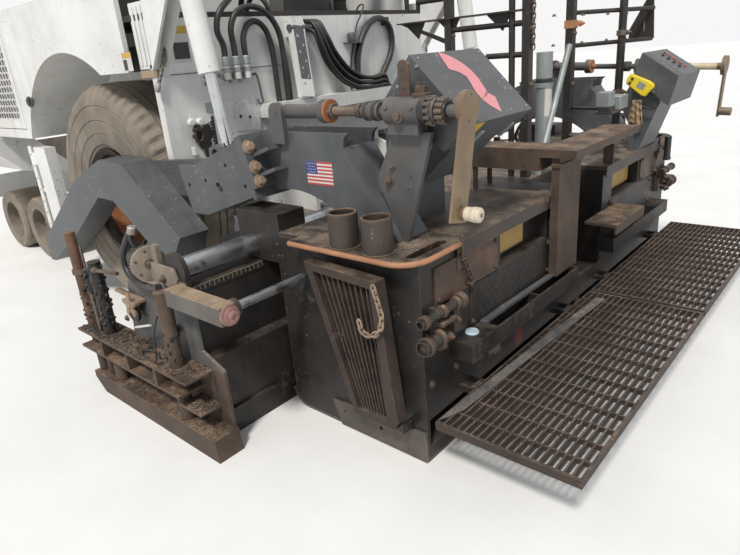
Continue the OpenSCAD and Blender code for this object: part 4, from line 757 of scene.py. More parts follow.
def bolt(mesh, place, axis, across=0.030, height=0.018, washer=True):
    axis = Vector(axis).normalized()
    if washer:
        lathe(mesh, [(across * 0.85, -0.001), (across * 0.85, 0.003), (across * 0.80, 0.0038)], place, axis,
              20)
        place = place + axis * 0.0036
    r = across / 2 * 1.155
    lathe(mesh, [(r, -0.001), (r, height * 0.85), (r * 0.86, height)], place, axis, 6, chance.random())


def nut(mesh, place, axis, across=0.030, height=0.022):
    axis = Vector(axis).normalized()
    bolt(mesh, place, axis, across, height)
    lathe(mesh, [(across * 0.30, 0.0), (across * 0.30, height + 0.010), (across * 0.25, height + 0.013)],
          place, axis, 12)


def lump(mesh, place, size, flat=0.6):
    made = bmesh.ops.create_icosphere(mesh, subdivisions=1, radius=1.0)["verts"]
    turn = Matrix.Rotation(chance.random() * 6.28, 3, "Z")
    stretch = Vector((chance.uniform(0.7, 1.2), chance.uniform(0.7, 1.2), chance.uniform(0.7, 1.1) * flat))
    for vert in made:
        rough = chance.uniform(0.72, 1.15)
        local = Vector((vert.co.x * stretch.x, vert.co.y * stretch.y, vert.co.z * stretch.z)) * size * rough
        vert.co = place + turn @ local


def addPiece(name, build, finish, body, bevel=0.0, smooth=40.0):
    mesh = bmesh.new()
    build(mesh)
    bmesh.ops.recalc_face_normals(mesh, faces=mesh.faces[:])
    data = bpy.data.meshes.new(name)
    mesh.to_mesh(data)
    mesh.free()
    data.materials.append(materials[finish])
    piece = bpy.data.objects.new(name, data)
    bpy.context.scene.collection.objects.link(piece)
    if smooth:
        data.shade_smooth()
        data.set_sharp_from_angle(angle=math.radians(smooth))
    if bevel:
        rounding = piece.modifiers.new("rounding", "BEVEL")
        rounding.width = bevel
        rounding.segments = 2
        rounding.limit_method = "ANGLE"
    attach(piece, body)
    return piece


def addHose(name, places, radius, finish, body, sides=12):
    # a hose or cable along its places, as a round pipe of the given radius
    path = smoothPath([at(*place) for place in places], 5)
    piece = addPiece(name, lambda mesh: pipe(mesh, path, radius, sides), finish, body, smooth=60.0)
    return piece


# hoses and small parts on the tractor's rear wall; x 1.95 is the wall's face
wallHoses = {
    "radius": 0.0185,
    "routes": {
        "hoseUpper": [(1.895, 0.861, 1.688), (1.895, 0.861, 1.76), (1.886, 0.895, 1.84),
                      (1.875, 0.875, 1.93), (1.873, 0.80, 2.00), (1.90, 0.70, 2.055), (1.97, 0.61, 2.06),
                      (2.05, 0.555, 2.02), (2.10, 0.535, 1.95)],
        "hoseMiddle": [(1.895, 0.783, 1.688), (1.895, 0.785, 1.76), (1.884, 0.795, 1.85),
                       (1.874, 0.755, 1.93), (1.870, 0.67, 1.968), (1.870, 0.57, 1.960),
                       (1.870, 0.485, 1.905), (1.872, 0.430, 1.82), (1.875, 0.412, 1.70),
                       (1.878, 0.408, 1.55), (1.880, 0.408, 1.392)],
        "hoseLower": [(1.895, 0.705, 1.688), (1.897, 0.705, 1.745), (1.902, 0.693, 1.81),
                      (1.906, 0.645, 1.873), (1.908, 0.575, 1.888), (1.908, 0.510, 1.84),
                      (1.908, 0.478, 1.75), (1.908, 0.470, 1.64), (1.906, 0.470, 1.52),
                      (1.904, 0.470, 1.392)],
    },
}
for name, route in wallHoses["routes"].items():
    addHose(name, route, wallHoses["radius"], "hoseRubber", "tractor")
addHose("hoseBesideArm", [(2.10, 0.49, 1.95), (2.05, 0.49, 2.02), (1.98, 0.49, 2.045), (1.915, 0.478, 2.00),
                          (1.905, 0.440, 1.90), (1.908, 0.395, 1.80), (1.912, 0.372, 1.68),
                          (1.912, 0.360, 1.54), (1.912, 0.358, 1.392)], 0.015, "hoseRubber", "tractor")
addHose("hoseLoop", [(1.921, -0.350, 1.392), (1.921, -0.352, 1.50), (1.920, -0.368, 1.63),
                     (1.918, -0.43, 1.76), (1.917, -0.535, 1.862), (1.917, -0.655, 1.888),
                     (1.918, -0.755, 1.835), (1.920, -0.790, 1.735), (1.921, -0.760, 1.62),
                     (1.921, -0.68, 1.52), (1.921, -0.615, 1.44), (1.921, -0.590, 1.392)], 0.024,
        "hoseRubber", "tractor")
addHose("cableOverLoop", [(2.02, -0.50, 1.95), (1.985, -0.50, 1.985), (1.935, -0.49, 1.985),
                          (1.925, -0.455, 1.93), (1.935, -0.400, 1.85), (1.940, -0.370, 1.75),
                          (1.941, -0.318, 1.62), (1.941, -0.295, 1.50), (1.941, -0.290, 1.392)], 0.006,
        "hoseRubber", "tractor", sides=8)

bundle = {"count": 6, "radius": 0.0148, "pitch": 0.0318, "firstX": 1.822, "lowZ": 1.408}
for i in range(bundle["count"]):
    column, layer = i % 2, i // 2
    x = bundle["firstX"] + column * bundle["pitch"]
    lift = layer * bundle["pitch"]
    low = bundle["lowZ"] + lift
    y = 0.118 - layer * 0.034
    route = [(1.951, y, 1.885 - column * 0.05), (x + 0.055, y - 0.002, 1.868 - column * 0.04),
             (x + 0.014, y - 0.01, 1.80), (x, y - 0.03, 1.71 + lift * 0.6), (x, y - 0.085, 1.60 + lift),
             (x, y - 0.20, 1.49 + lift), (x, y - 0.33, low + 0.020), (x, y - 0.45, low), (x, -0.47, low),
             (x, -0.555, low + 0.004), (x, -0.618 + layer * 0.012, low - 0.018 - lift)]
    addHose(f"bundleHose{i + 1}", route, bundle["radius"], "hoseRubber", "tractor", sides=10)


def buildManifoldFittings(mesh):
    # swivel nuts and crimped sleeves on the three risers, and the clamp's bolts
    for y in (0.705, 0.783, 0.861):
        lathe(mesh, [(0.0245, 0.0), (0.0245, 0.030)], at(1.895, y, 1.602), (0, 0, 1), 6, 0.3)
        lathe(mesh, [(0.021, 0.0), (0.0235, 0.004), (0.0235, 0.050), (0.021, 0.054)], at(1.895, y, 1.640),
              (0, 0, 1), 16)
        for k in range(5):
            lathe(mesh, [(0.0235, 0.0), (0.0248, 0.002), (0.0235, 0.004)], at(1.895, y, 1.646 + k * 0.009),
                  (0, 0, 1), 16)
        lathe(mesh, [(0.024, 0.0), (0.024, 0.016)], at(1.912, y, 1.580), (1, 0, 0), 6)
    for y in (0.668, 0.744, 0.822, 0.90, 1.0):
        bolt(mesh, at(1.936, y, 1.592), (-1, 0, 0), 0.016, 0.010)
    for y in (0.744, 0.822, 1.0):
        bolt(mesh, at(1.936, y, 1.554), (-1, 0, 0), 0.016, 0.010)


addPiece("manifoldFittings", buildManifoldFittings, "zincSteel", "tractor", 0.0006)


def buildWallClutter(mesh):
    # hook, small bracket with its knob, ledge and the ears' pins
    pipe(mesh, smoothPath([at(1.938, 0.640, 1.575), at(1.918, 0.628, 1.580), at(1.908, 0.622, 1.54),
                           at(1.908, 0.612, 1.45), at(1.908, 0.606, 1.41), at(1.912, 0.618, 1.396),
                           at(1.918, 0.632, 1.402), at(1.920, 0.636, 1.425)], 4), 0.007, 8)
    slab(mesh, (1.870, 1.951), (-0.393, -0.250), (1.722, 1.732))
    lathe(mesh, [(0.030, 0.0), (0.034, 0.006), (0.034, 0.050), (0.028, 0.062), (0.012, 0.066)],
          at(1.905, -0.300, 1.732), (0, 0, 1), 18)
    for y in (0.196, 0.304):
        lathe(mesh, [(0.022, -0.018), (0.022, 0.018)], at(1.893, y, 1.842), (0, 1, 0), 16)
    for y, z in ((1.10, 1.10), (1.10, 1.36), (-1.10, 1.10), (-1.10, 1.36)):
        bolt(mesh, at(1.950, y, z), (-1, 0, 0), 0.024, 0.014)


addPiece("wallClutter", buildWallClutter, "platePaint", "tractor", 0.001)


def buildLockFace(mesh):
    # the dark side of the lock arm between its white edges, round the holes
    turn = Matrix.Rotation(math.radians(12), 3, "Y") @ Matrix.Rotation(math.radians(7), 3, "X")
    hub = at(1.905, 0.250, 1.862)

    def onArm(y, z):
        return hub + turn @ Vector((-0.0262, y, z))

    rows, rise, holes, holeRadius = 37, 0.0094, 7, 0.0105
    for k in range(rows):
        high, low = -0.012 - k * rise, -0.012 - (k + 1) * rise
        mid = (high + low) / 2
        spans = [(-0.044, 0.044)]
        for i in range(holes):
            cy, cz = (0.018 if i % 2 == 0 else -0.018), -0.080 - i * 0.052
            if abs(mid - cz) < holeRadius:
                half = math.sqrt(holeRadius ** 2 - (mid - cz) ** 2)
                spans = [(-0.044, cy - half), (cy + half, 0.044)]
        for left, right in spans:
            mesh.faces.new([mesh.verts.new(onArm(*point)) for point in
                            ((left, low), (right, low), (right, high), (left, high))])


addPiece("lockArmFace", buildLockFace, "platePaint", "tractor", smooth=0)


ropeLine = smoothPath([at(1.932, 1.180, 1.885), at(1.930, 1.200, 1.825), at(1.926, 1.235, 1.75),
                       at(1.925, 1.268, 1.68), at(1.927, 1.300, 1.61), at(1.932, 1.322, 1.560)], 16)


def buildSteelRope(mesh):
    # three strands laid in one section that turns along the rope
    radius, sides, rings = 0.0105, 12, []
    side = (ropeLine[1] - ropeLine[0]).orthogonal().normalized()
    for i, point in enumerate(ropeLine):
        ahead = (ropeLine[min(i + 1, len(ropeLine) - 1)] - ropeLine[max(i - 1, 0)]).normalized()
        side = (side - ahead * side.dot(ahead)).normalized()
        other = ahead.cross(side)
        ring = []
        for k in range(sides):
            a = 2 * math.pi * k / sides + i * 0.30
            r = radius * (1 + 0.13 * math.cos(3 * 2 * math.pi * k / sides))
            ring.append(mesh.verts.new(point + (side * math.cos(a) + other * math.sin(a)) * r))
        rings.append(ring)
    for near, far in zip(rings, rings[1:]):
        for k in range(sides):
            mesh.faces.new((near[k], near[(k + 1) % sides], far[(k + 1) % sides], far[k]))
    mesh.faces.new(rings[0][::-1])
    mesh.faces.new(rings[-1])


def buildRopeSockets(mesh):
    for place in (ropeLine[0], ropeLine[-1]):
        lathe(mesh, [(0.012, -0.020), (0.016, -0.012), (0.016, 0.018), (0.012, 0.026)], place,
              (0, 0.4, -0.9), 12)
        slab(mesh, (place.x + middle - 0.004, 1.951), (place.y - 0.008, place.y + 0.008),
             (place.z - 0.012, place.z + 0.012))


rope = addPiece("steelRope", buildSteelRope, "ropeWire", "tractor", smooth=60.0)
addPiece("ropeSockets", buildRopeSockets, "zincSteel", "tractor", 0.0006)
addHose("cableToRope", [(2.02, 1.12, 1.95), (1.985, 1.125, 1.988), (1.94, 1.135, 1.99), (1.928, 1.150, 1.95),
                        (1.930, 1.168, 1.91), (1.932, 1.176, 1.885)], 0.007, "hoseRubber", "tractor",
        sides=8)


def labelPiece(name, finish, body, corners, lift=0.0012):
    # a bare sign: corners in order, seen from outside
    points = [at(*corner) for corner in corners]
    normal = (points[1] - points[0]).cross(points[2] - points[1]).normalized()

    def build(mesh):
        near = [mesh.verts.new(point - normal * 0.0002) for point in points]
        far = [mesh.verts.new(point + normal * lift) for point in points]
        mesh.faces.new(near[::-1])
        mesh.faces.new(far)
        for i in range(4):
            j = (i + 1) % 4
            mesh.faces.new((near[i], near[j], far[j], far[i]))
    return addPiece(name, build, finish, body, smooth=0)


# bare signs on the body: a yellow head over a white field with a dark block
sideY, wallX = 1.3352, 1.9498
onSide = [
    # name, finish, first and last x, lowest and highest z, how far it stands out
    ("sideSignWhite", "signWhite", 2.239, 2.133, 1.658, 1.761, 0.0012),
    ("sideSignHead", "signYellow", 2.237, 2.135, 1.730, 1.760, 0.0016),
    ("sideSignBlock", "signBlack", 2.231, 2.188, 1.664, 1.722, 0.0016),
]
onWall = [
    # the same, with y for x
    ("wallSignWhite", "signWhite", 1.175, 1.06, 1.68, 1.88, 0.0012),
    ("wallSignHead", "signYellow", 1.173, 1.062, 1.836, 1.878, 0.0016),
    ("wallSignBlock", "signBlack", 1.169, 1.066, 1.70, 1.79, 0.0016),
    ("wallPlate", "signBlack", -0.70, -0.80, 1.84, 1.90, 0.0012),
]
for name, finish, first, last, low, high, lift in onSide:
    labelPiece(name, finish, "tractor",
               [(first, sideY, low), (last, sideY, low), (last, sideY, high), (first, sideY, high)], lift)
for name, finish, first, last, low, high, lift in onWall:
    labelPiece(name, finish, "tractor",
               [(wallX, first, low), (wallX, last, low), (wallX, last, high), (wallX, first, high)], lift)


def buildBodyTrim(mesh):
    # latch recess in each side door, with its ring and handle
    for side in (1, -1):
        y = side * 1.335
        ring = [at(3.797 + 0.058 * math.cos(t * math.pi / 14), y, 1.502 + 0.036 * math.sin(t * math.pi / 14))
                for t in range(28)]
        pipe(mesh, ring, 0.006, 8, closed=True)
        plate(mesh, [(3.797 + 0.056 * math.cos(t * math.pi / 10), y,
                      1.502 + 0.034 * math.sin(t * math.pi / 10))
                     for t in range(20)], (0, side, 0), 0.0025)
        slab(mesh, (3.790, 3.804), (y, y + side * 0.010), (1.478, 1.526))


addPiece("bodyTrim", buildBodyTrim, "signBlack", "tractor", 0.0006)
print("tractor's rear wall and body trimmed")


# the left thickness screw, from its crank forward
screwLine = {"y": 1.380, "z": 1.437, "lean": math.radians(13)}


def onCrank(y, z, x=-0.128):
    # a place on the left crank's arm, measured from its boss
    c, s = math.cos(screwLine["lean"]), math.sin(screwLine["lean"])
    return at(x, screwLine["y"] - 0.025 + y * c - z * s, screwLine["z"] + 0.008 + y * s + z * c)


def buildScrewSteel(mesh):
    hub = at(0, screwLine["y"], screwLine["z"])
    # twelve rollers in each half of the chain coupling, and the pin that joins them
    for first, reach, size, length in ((0.002, 0.0455, 0.0088, 0.020), (-0.050, 0.0405, 0.0095, 0.026)):
        for k in range(12):
            a = k * math.pi / 6 + 0.1
            off = Vector((0, math.cos(a), math.sin(a))) * reach
            lathe(mesh, [(size * 0.55, -0.004), (size, -0.002), (size, length),
                         (size * 0.55, length + 0.002)],
                  hub + off + Vector((first, 0, 0)), (1, 0, 0), 8)
    lathe(mesh, [(0.012, 0), (0.016, 0.003), (0.016, 0.022)], hub + Vector((-0.100, 0, 0)), (1, 0, 0), 6)
    # clamp ring with its ears, and stop collars further forward
    for x, reach, wide in ((0.222, 0.026, 0.018), (0.352, 0.027, 0.024), (0.500, 0.030, 0.020)):
        lathe(mesh, [(reach * 0.93, 0), (reach, 0.002), (reach, wide - 0.002), (reach * 0.93, wide)],
              hub + Vector((x, 0, 0)), (1, 0, 0), 20)
        bolt(mesh, hub + Vector((x + wide / 2, reach - 0.002, 0)), (0, 1, 0), 0.012, 0.010, False)
    for x in (0.072, 0.188):
        for a in (0.3, 1.7, 3.4, 4.9):
            out = Vector((0, math.cos(a), math.sin(a)))
            bolt(mesh, hub + Vector((x, 0, 0)) + out * 0.0515, out, 0.013, 0.007, False)
    bolt(mesh, hub + Vector((0.134, 0.0500, -0.014)), (0, 1, 0), 0.028, 0.012)
    # thread seen between the sleeve and the collar
    for k in range(34):
        lathe(mesh, [(0.0182, 0), (0.0204, 0.0022), (0.0182, 0.0044)],
              hub + Vector((0.372 + k * 0.0044, 0, 0)), (1, 0, 0), 14)


def buildScrewBlack(mesh):
    hub = at(0, screwLine["y"], screwLine["z"])
    lathe(mesh, [(0.050, 0), (0.0545, 0.003), (0.0545, 0.026), (0.050, 0.030)], hub + Vector((0.021, 0, 0)),
          (1, 0, 0), 28)
    lathe(mesh, [(0.035, 0), (0.038, 0.004), (0.038, 0.034), (0.030, 0.040)], hub + Vector((-0.058, 0, 0)),
          (1, 0, 0), 24)
    for x in (0.262, 0.305):
        lathe(mesh, [(0.034, 0), (0.0375, 0.003), (0.0375, 0.016), (0.034, 0.019)], hub + Vector((x, 0, 0)),
              (1, 0, 0), 24)
    for y, z in ((0.0, 0.045), (0.0, -0.045)):
        lathe(mesh, [(0.0042, -0.001), (0.0042, 0.0006)], onCrank(y, z), (-1, 0, 0), 10)


def buildTwoHoleBar(mesh):
    # flat bar welded on the sleeve, with two holes
    outline = [(0.108, 1.484), (0.160, 1.484), (0.160, 1.600), (0.152, 1.612), (0.138, 1.617),
               (0.122, 1.612), (0.110, 1.600)]
    plate(mesh, [(x, 1.372, z) for x, z in outline], (0, 1, 0), 0.012)
    slab(mesh, (0.030, 0.088), (1.357, 1.402), (1.486, 1.500))
    slab(mesh, (0.040, 0.076), (1.363, 1.395), (1.500, 1.522))
    for x in (0.048, 0.068):
        bolt(mesh, at(x, 1.379, 1.522), (0, 0, 1), 0.015, 0.012)


def buildBarHoles(mesh):
    # holes drawn as flat black discs: painted shade inside the holes
    for x, z in ((0.136, 1.517), (0.138, 1.581)):
        lathe(mesh, [(0.0075, -0.0005), (0.0075, 0.0005)], at(x, 1.3842, z), (0, 1, 0), 14)
    for x, z in ((0.127, 1.190), (0.142, 1.141)):
        lathe(mesh, [(0.006, -0.0005), (0.006, 0.0005)], at(x, 1.3782, z), (0, 1, 0), 12)


addPiece("screwCouplings", buildScrewSteel, "boltSteel", "screed", 0.0004)
addPiece("screwCollars", buildScrewBlack, "signBlack", "screed", 0.0006)
addPiece("twoHoleBar", buildTwoHoleBar, "brownSteel", "screed", 0.0015)
addPiece("barHoles", buildBarHoles, "signBlack", "screed", smooth=0)


# the knob's outer end on the left crank
knob = onCrank(-98 / 4 / 1000, 0.035 - 0.400, -0.198)


def buildCrankEnds(mesh):
    # the knob's gilt end, its screw, and the plug in the arm
    lathe(mesh, [(0.0155, -0.001), (0.0155, 0.0015), (0.0125, 0.0022)], knob, (-1, 0, 0), 24)
    lathe(mesh, [(0.008, 0.0), (0.008, 0.006)], knob, (-1, 0, 0), 6)
    lathe(mesh, [(0.024, -0.0005), (0.024, 0.0015), (0.022, 0.0022)], onCrank(0.012, -0.330), (-1, 0, 0), 28)


addPiece("crankEnds", buildCrankEnds, "crankBrass", "screed", 0.0003)


def buildKnobRings(mesh):
    lathe(mesh, [(0.026, -0.012), (0.0285, -0.006), (0.0265, 0.0), (0.0205, 0.0035), (0.0150, 0.0040)], knob,
          (-1, 0, 0), 30)
    lathe(mesh, [(0.026, -0.034), (0.0285, -0.028), (0.0285, -0.014), (0.026, -0.010)], knob, (-1, 0, 0), 30)


addPiece("knobRings", buildKnobRings, "ivoryPlastic", "screed", smooth=60.0)

# stripe and signs on the left control box, whose top leans at 45 degrees
boxTop = {"x": -0.100, "z": 1.380, "under": 0.8649}


def onBoxTop(x, y):
    return (x, y, boxTop["z"] + (x - boxTop["x"]))


def buildBoxStripe(mesh):
    # a plain curved band
    spine = smoothPath([Vector((0.118, 1.150, 0)), Vector((0.098, 1.095, 0)), Vector((0.062, 1.058, 0)),
                        Vector((0.020, 1.066, 0)), Vector((-0.022, 1.082, 0)), Vector((-0.060, 1.040, 0))],
                       5)
    width = 0.034
    up = Vector((-1, 0, 1)).normalized() * 0.0012
    edges = []
    for i, point in enumerate(spine):
        ahead = (spine[min(i + 1, len(spine) - 1)] - spine[max(i - 1, 0)]).normalized()
        across = Vector((-ahead.y, ahead.x, 0)) * width
        edges.append([mesh.verts.new(at(*onBoxTop(*(point + across * side).xy)) + up) for side in (-1, 1)])
    for near, far in zip(edges, edges[1:]):
        mesh.faces.new((near[0], near[1], far[1], far[0]))


addPiece("boxStripe", buildBoxStripe, "pinkPaint", "screed", smooth=0)


def onBoxUnder(x, y):
    return (x, y, boxTop["z"] - (x - boxTop["x"]) * boxTop["under"])


labelPiece("boxLabel", "signYellow", "screed",
           [onBoxUnder(-0.040, 1.300), onBoxUnder(-0.096, 1.300), onBoxUnder(-0.096, 1.196),
            onBoxUnder(-0.040, 1.196)])


def buildBoxTrim(mesh):
    # folded seam along the box's rear, toggle latches and cover screws
    down = Vector((0.111, 0, -0.096)).normalized()
    out = Vector((-0.096, 0, -0.111)).normalized()
    for y in (0.90, 1.14):
        base = at(*onBoxUnder(-0.030, y)) + out * 0.001
        turn = Matrix.Rotation(math.atan2(0.096, 0.111), 3, "Y")
        hub = (-0.030, y, onBoxUnder(-0.030, y)[2])
        slab(mesh, (-0.050, 0.030), (y - 0.014, y + 0.014), (hub[2] - 0.006, hub[2] + 0.001), turn, hub)
        pipe(mesh, [base + down * -0.02 + Vector((0, s, 0)) for s in (-0.012, 0.012)], 0.004, 8)
    for x, z in ((0.118, 1.588), (0.022, 1.400), (0.210, 1.520), (0.070, 1.345)):
        bolt(mesh, at(x, 1.322, z), (0, 1, 0), 0.012, 0.005, False)
    for x, y in ((0.135, 0.86), (0.135, 1.29), (-0.085, 0.86), (-0.085, 1.29), (0.025, 0.86)):
        bolt(mesh, at(*onBoxTop(x, y)), (-1, 0, 1), 0.010, 0.004, False)


addPiece("boxTrim", buildBoxTrim, "zincSteel", "screed", 0.0005)


def buildStandBolts(mesh):
    # on the plate that holds the screw's rear end, and down the flag plate
    for x, z, across in ((0.217, 1.222, 0.018), (0.234, 1.170, 0.028)):
        nut(mesh, at(x, 1.378, z), (0, 1, 0), across, across * 0.55)
    slab(mesh, (0.1200, 0.1225), (1.3775, 1.3790), (1.190, 1.324))


addPiece("standBolts", buildStandBolts, "boltSteel", "screed", 0.0005)


# the brackets' bolted flange: its foot, its lean, its half thickness and how far up each bolt is
flange = {"foot": (0.930, 1.073), "lean": math.radians(18), "half": 0.0265, "bolts": (0.060, 0.125, 0.220)}


def buildFlangeBolts(mesh):
    # one column of large bolts on each bracket's bolted flange
    (x, z), half = flange["foot"], flange["half"]
    c, s = math.cos(flange["lean"]), math.sin(flange["lean"])
    for side in (1, -1):
        for up in flange["bolts"]:
            place = at(x - half * c + up * s, side * 1.485, z + half * s + up * c)
            bolt(mesh, place, (-c, 0, s), 0.038, 0.024)


addPiece("flangeBolts", buildFlangeBolts, "tarnishedTan", "screed", 0.001)

# a plain striped flag on the flag plate
flag = {"left": 0.690, "right": 0.530, "low": 1.125, "high": 1.227, "y": 1.4002}


def flagStrip(mesh, left, right, low, high, lift):
    points = [(left, low), (right, low), (right, high), (left, high)]
    mesh.faces.new([mesh.verts.new(at(x, flag["y"] + lift, z)) for x, z in points])


def buildFlagWhite(mesh):
    slab(mesh, (flag["right"], flag["left"]), (flag["y"] - 0.0004, flag["y"] + 0.0008),
         (flag["low"], flag["high"]))


def buildFlagRed(mesh):
    step = (flag["high"] - flag["low"]) / 13
    for k in range(0, 13, 2):
        flagStrip(mesh, flag["left"], flag["right"], flag["low"] + k * step, flag["low"] + (k + 1) * step,
                  0.0011)


def buildFlagBlue(mesh):
    step = (flag["high"] - flag["low"]) / 13
    flagStrip(mesh, flag["left"], flag["left"] - 0.068, flag["high"] - 7 * step, flag["high"], 0.0015)


def buildFlagStars(mesh):
    for row in range(4):
        for k in range(5 if row % 2 == 0 else 4):
            x = flag["left"] - 0.010 - k * 0.012 - (0.006 if row % 2 else 0)
            z = flag["high"] - 0.009 - row * 0.0125
            lathe(mesh, [(0.0026, -0.0002), (0.0026, 0.0002)], at(x, flag["y"] + 0.0017, z), (0, 1, 0), 5,
                  0.3)


addPiece("flagWhite", buildFlagWhite, "signWhite", "screed", smooth=0)
addPiece("flagRed", buildFlagRed, "flagRed", "screed", smooth=0)
addPiece("flagBlue", buildFlagBlue, "flagBlue", "screed", smooth=0)
addPiece("flagStars", buildFlagStars, "signWhite", "screed", smooth=0)

# the deck's rolled rim; the rim and foot of each can
deckRim = {"radius": 0.0112, "z": 0.9095}


def buildDeckRim(mesh):
    for side in (1, -1):
        path = [at(0.640, side * 1.600, deckRim["z"]), at(0.30, side * 1.600, deckRim["z"])]
        for k in range(13):
            a = math.pi / 2 + k * math.pi / 24
            path.append(at(0.100 + 0.120 * math.cos(a), side * (1.480 + 0.120 * math.sin(a)), deckRim["z"]))
        path += [at(-0.020, side * y, deckRim["z"]) for y in (1.44, 1.36, 1.285)]
        for k in range(1, 8):
            a = math.pi + k * math.pi / 9
            path.append(at(0.0005 + 0.0205 * math.cos(a), side * (1.285 + 0.0205 * math.sin(a)),
                           deckRim["z"]))
        pipe(mesh, path, deckRim["radius"], 12)


def buildCanRims(mesh):
    for side in (1, -1):
        for x in (0.190, 0.370):
            for reach, z, wire, faces in ((0.056, 1.0600, 0.0065, 8), (0.064, 0.9215, 0.005, 6)):
                ring = [at(x + reach * math.cos(k * math.pi / 16),
                           side * 1.530 + reach * math.sin(k * math.pi / 16), z) for k in range(32)]
                pipe(mesh, ring, wire, faces, closed=True)


addPiece("deckRim", buildDeckRim, "orangeRust", "screed", smooth=60.0)
addPiece("canRims", buildCanRims, "brownSteel", "screed", smooth=60.0)


def buildRearLatch(mesh, side):
    # a draw latch that hangs from the deck's lip over the door
    slab(mesh, (-0.034, -0.0085), (side * 1.256, side * 1.278), (0.842, 0.852))
    slab(mesh, (-0.014, -0.0085), (side * 1.252, side * 1.282), (0.80, 0.89))
    pipe(mesh, [at(-0.020, side * 1.266, 0.945), at(-0.026, side * 1.266, 0.90),
                at(-0.026, side * 1.266, 0.86)],
         0.006, 8)
    turn = Matrix.Rotation(side * math.radians(-27), 3, "X")
    hub = (-0.022, side * 1.264, 0.862)
    for y in (-0.011, 0.007):
        slab(mesh, (-0.027, -0.019), (side * 1.264 + y, side * 1.264 + y + 0.004), (0.725, 0.862), turn, hub)
    for z in (0.727, 0.775, 0.815, 0.852):
        slab(mesh, (-0.027, -0.018), (side * 1.264 - 0.011, side * 1.264 + 0.011), (z, z + 0.008), turn, hub)
    slab(mesh, (-0.034, -0.0085), (side * 1.190, side * 1.222), (0.716, 0.730), turn,
         (-0.022, side * 1.205, 0.723))
    for z in (0.940, 0.958):
        bolt(mesh, at(-0.021, side * 1.266, z - 0.02), (-1, 0, 0), 0.012, 0.008, False)


def buildRearBolts(mesh):
    for side in (1, -1):
        for y in (0.975, 1.42):
            for z in (0.715, 0.84):
                bolt(mesh, at(-0.008, side * y, z), (-1, 0, 0), 0.014, 0.006)
        for y in (0.435, 1.165):
            for z in (0.52, 0.67):
                bolt(mesh, at(-0.004, side * y, z), (-1, 0, 0), 0.016, 0.008)
        for y in (0.30, 0.60, 0.95, 1.30, 1.48):
            bolt(mesh, at(0.0, side * y, 0.36), (-1, 0, 0), 0.022, 0.010)
        for y in (0.12, 0.30, 0.75, 1.0, 1.35):
            bolt(mesh, at(0.0, side * y, 0.10), (-1, 0, 0), 0.020, 0.010)
        for y in (0.45, 0.95):
            slab(mesh, (-0.012, 0.0), (side * (y - 0.04), side * (y + 0.04)), (0.866, 0.872))


for side, label in bothSides:
    addPiece("rearLatch" + label.capitalize(), lambda mesh: buildRearLatch(mesh, side), "boltSteel",
             "screed", 0.001)
addPiece("rearBolts", buildRearBolts, "rustySteel", "screed", 0.0005)


def buildPerforation(mesh):
    # staggered round holes in the lower cover, drawn as flat black discs: painted shade inside the holes
    for side in (1, -1):
        for row in range(6):
            for k in range(14):
                y = 0.500 + k * 0.044 + (0.022 if row % 2 else 0)
                z = 0.525 + row * 0.027
                if (y - 0.50) * 0.25 + 0.02 < (0.70 - z) - 0.10:
                    continue
                lathe(mesh, [(0.0088, -0.0006), (0.0088, 0.0004)], at(-0.0044, side * y, z), (-1, 0, 0), 12)


addPiece("perforation", buildPerforation, "signBlack", "screed", smooth=0)
pocket = {"x": 0.0598, "ys": (0.905, 0.590), "zs": (0.716, 0.822)}
for side, label in bothSides:
    first, last = sorted((side * y for y in pocket["ys"]), reverse=True)
    labelPiece("pocketPlate" + label.capitalize(), "signOchre", "screed", [
        (pocket["x"], y, z) for y, z in ((first, pocket["zs"][0]), (last, pocket["zs"][0]),
                                         (last, pocket["zs"][1]), (first, pocket["zs"][1]))])


def buildTrayParts(mesh):
    # loose strip in the tray and the fittings on the pipe stubs
    strip = [(-0.012, 1.112, 0.4955), (0.000, 1.100, 0.4955), (-0.018, 0.330, 0.4955),
             (-0.052, 0.330, 0.4955), (-0.044, 1.096, 0.4955)]
    plate(mesh, strip, (0, 0, 1), 0.006)
    plate(mesh, [(-0.052, 0.330, 0.4955), (-0.044, 1.096, 0.4955), (-0.044, 1.096, 0.515),
                 (-0.052, 0.330, 0.515)],
          (1, 0, 0), 0.005)


def buildPipeFittings(mesh):
    for side in (1, -1):
        for x, z, r, ends in ((-0.038, 0.685, 0.020, (1.345, 1.440, 1.560)),
                              (-0.045, 0.585, 0.032, (1.480, 1.560))):
            for y in ends:
                lathe(mesh, [(r, 0), (r + 0.007, 0.003), (r + 0.007, 0.022), (r, 0.025)],
                      at(x, side * (y - 0.012), z), (0, side, 0), 8 if y == 1.440 else 20)
        lathe(mesh, [(0.030, 0), (0.034, 0.004), (0.034, 0.030), (0.026, 0.036)],
              at(-0.038, side * 1.330, 0.685), (0, -side, 0), 20)
        for y, z, across in ((1.399, 0.560, 0.026), (1.454, 0.545, 0.030), (1.350, 0.618, 0.022)):
            pipe(mesh, [at(0.0, side * y, z), at(-0.040, side * y, z)], 0.009, 8)
            nut(mesh, at(-0.036, side * y, z), (-1, 0, 0), across, 0.016)
        slab(mesh, (-0.062, 0.0), (side * 1.372, side * 1.470), (0.632, 0.646))
        slab(mesh, (-0.030, 0.0), (side * 1.30, side * 1.345), (0.55, 0.665))


addPiece("trayStrip", buildTrayParts, "platePaint", "screed", 0.0006)
addPiece("pipeFittings", buildPipeFittings, "brownSteel", "screed", 0.0008)
addPiece("trayCap", lambda mesh: lathe(mesh, [(0.030, 0), (0.030, 0.008), (0.027, 0.011), (0.021, 0.0085),
                                              (0.004, 0.008)], at(-0.030, 1.215, 0.4945), (0, 0, 1), 28),
         "blueCap", "screed", smooth=60.0)


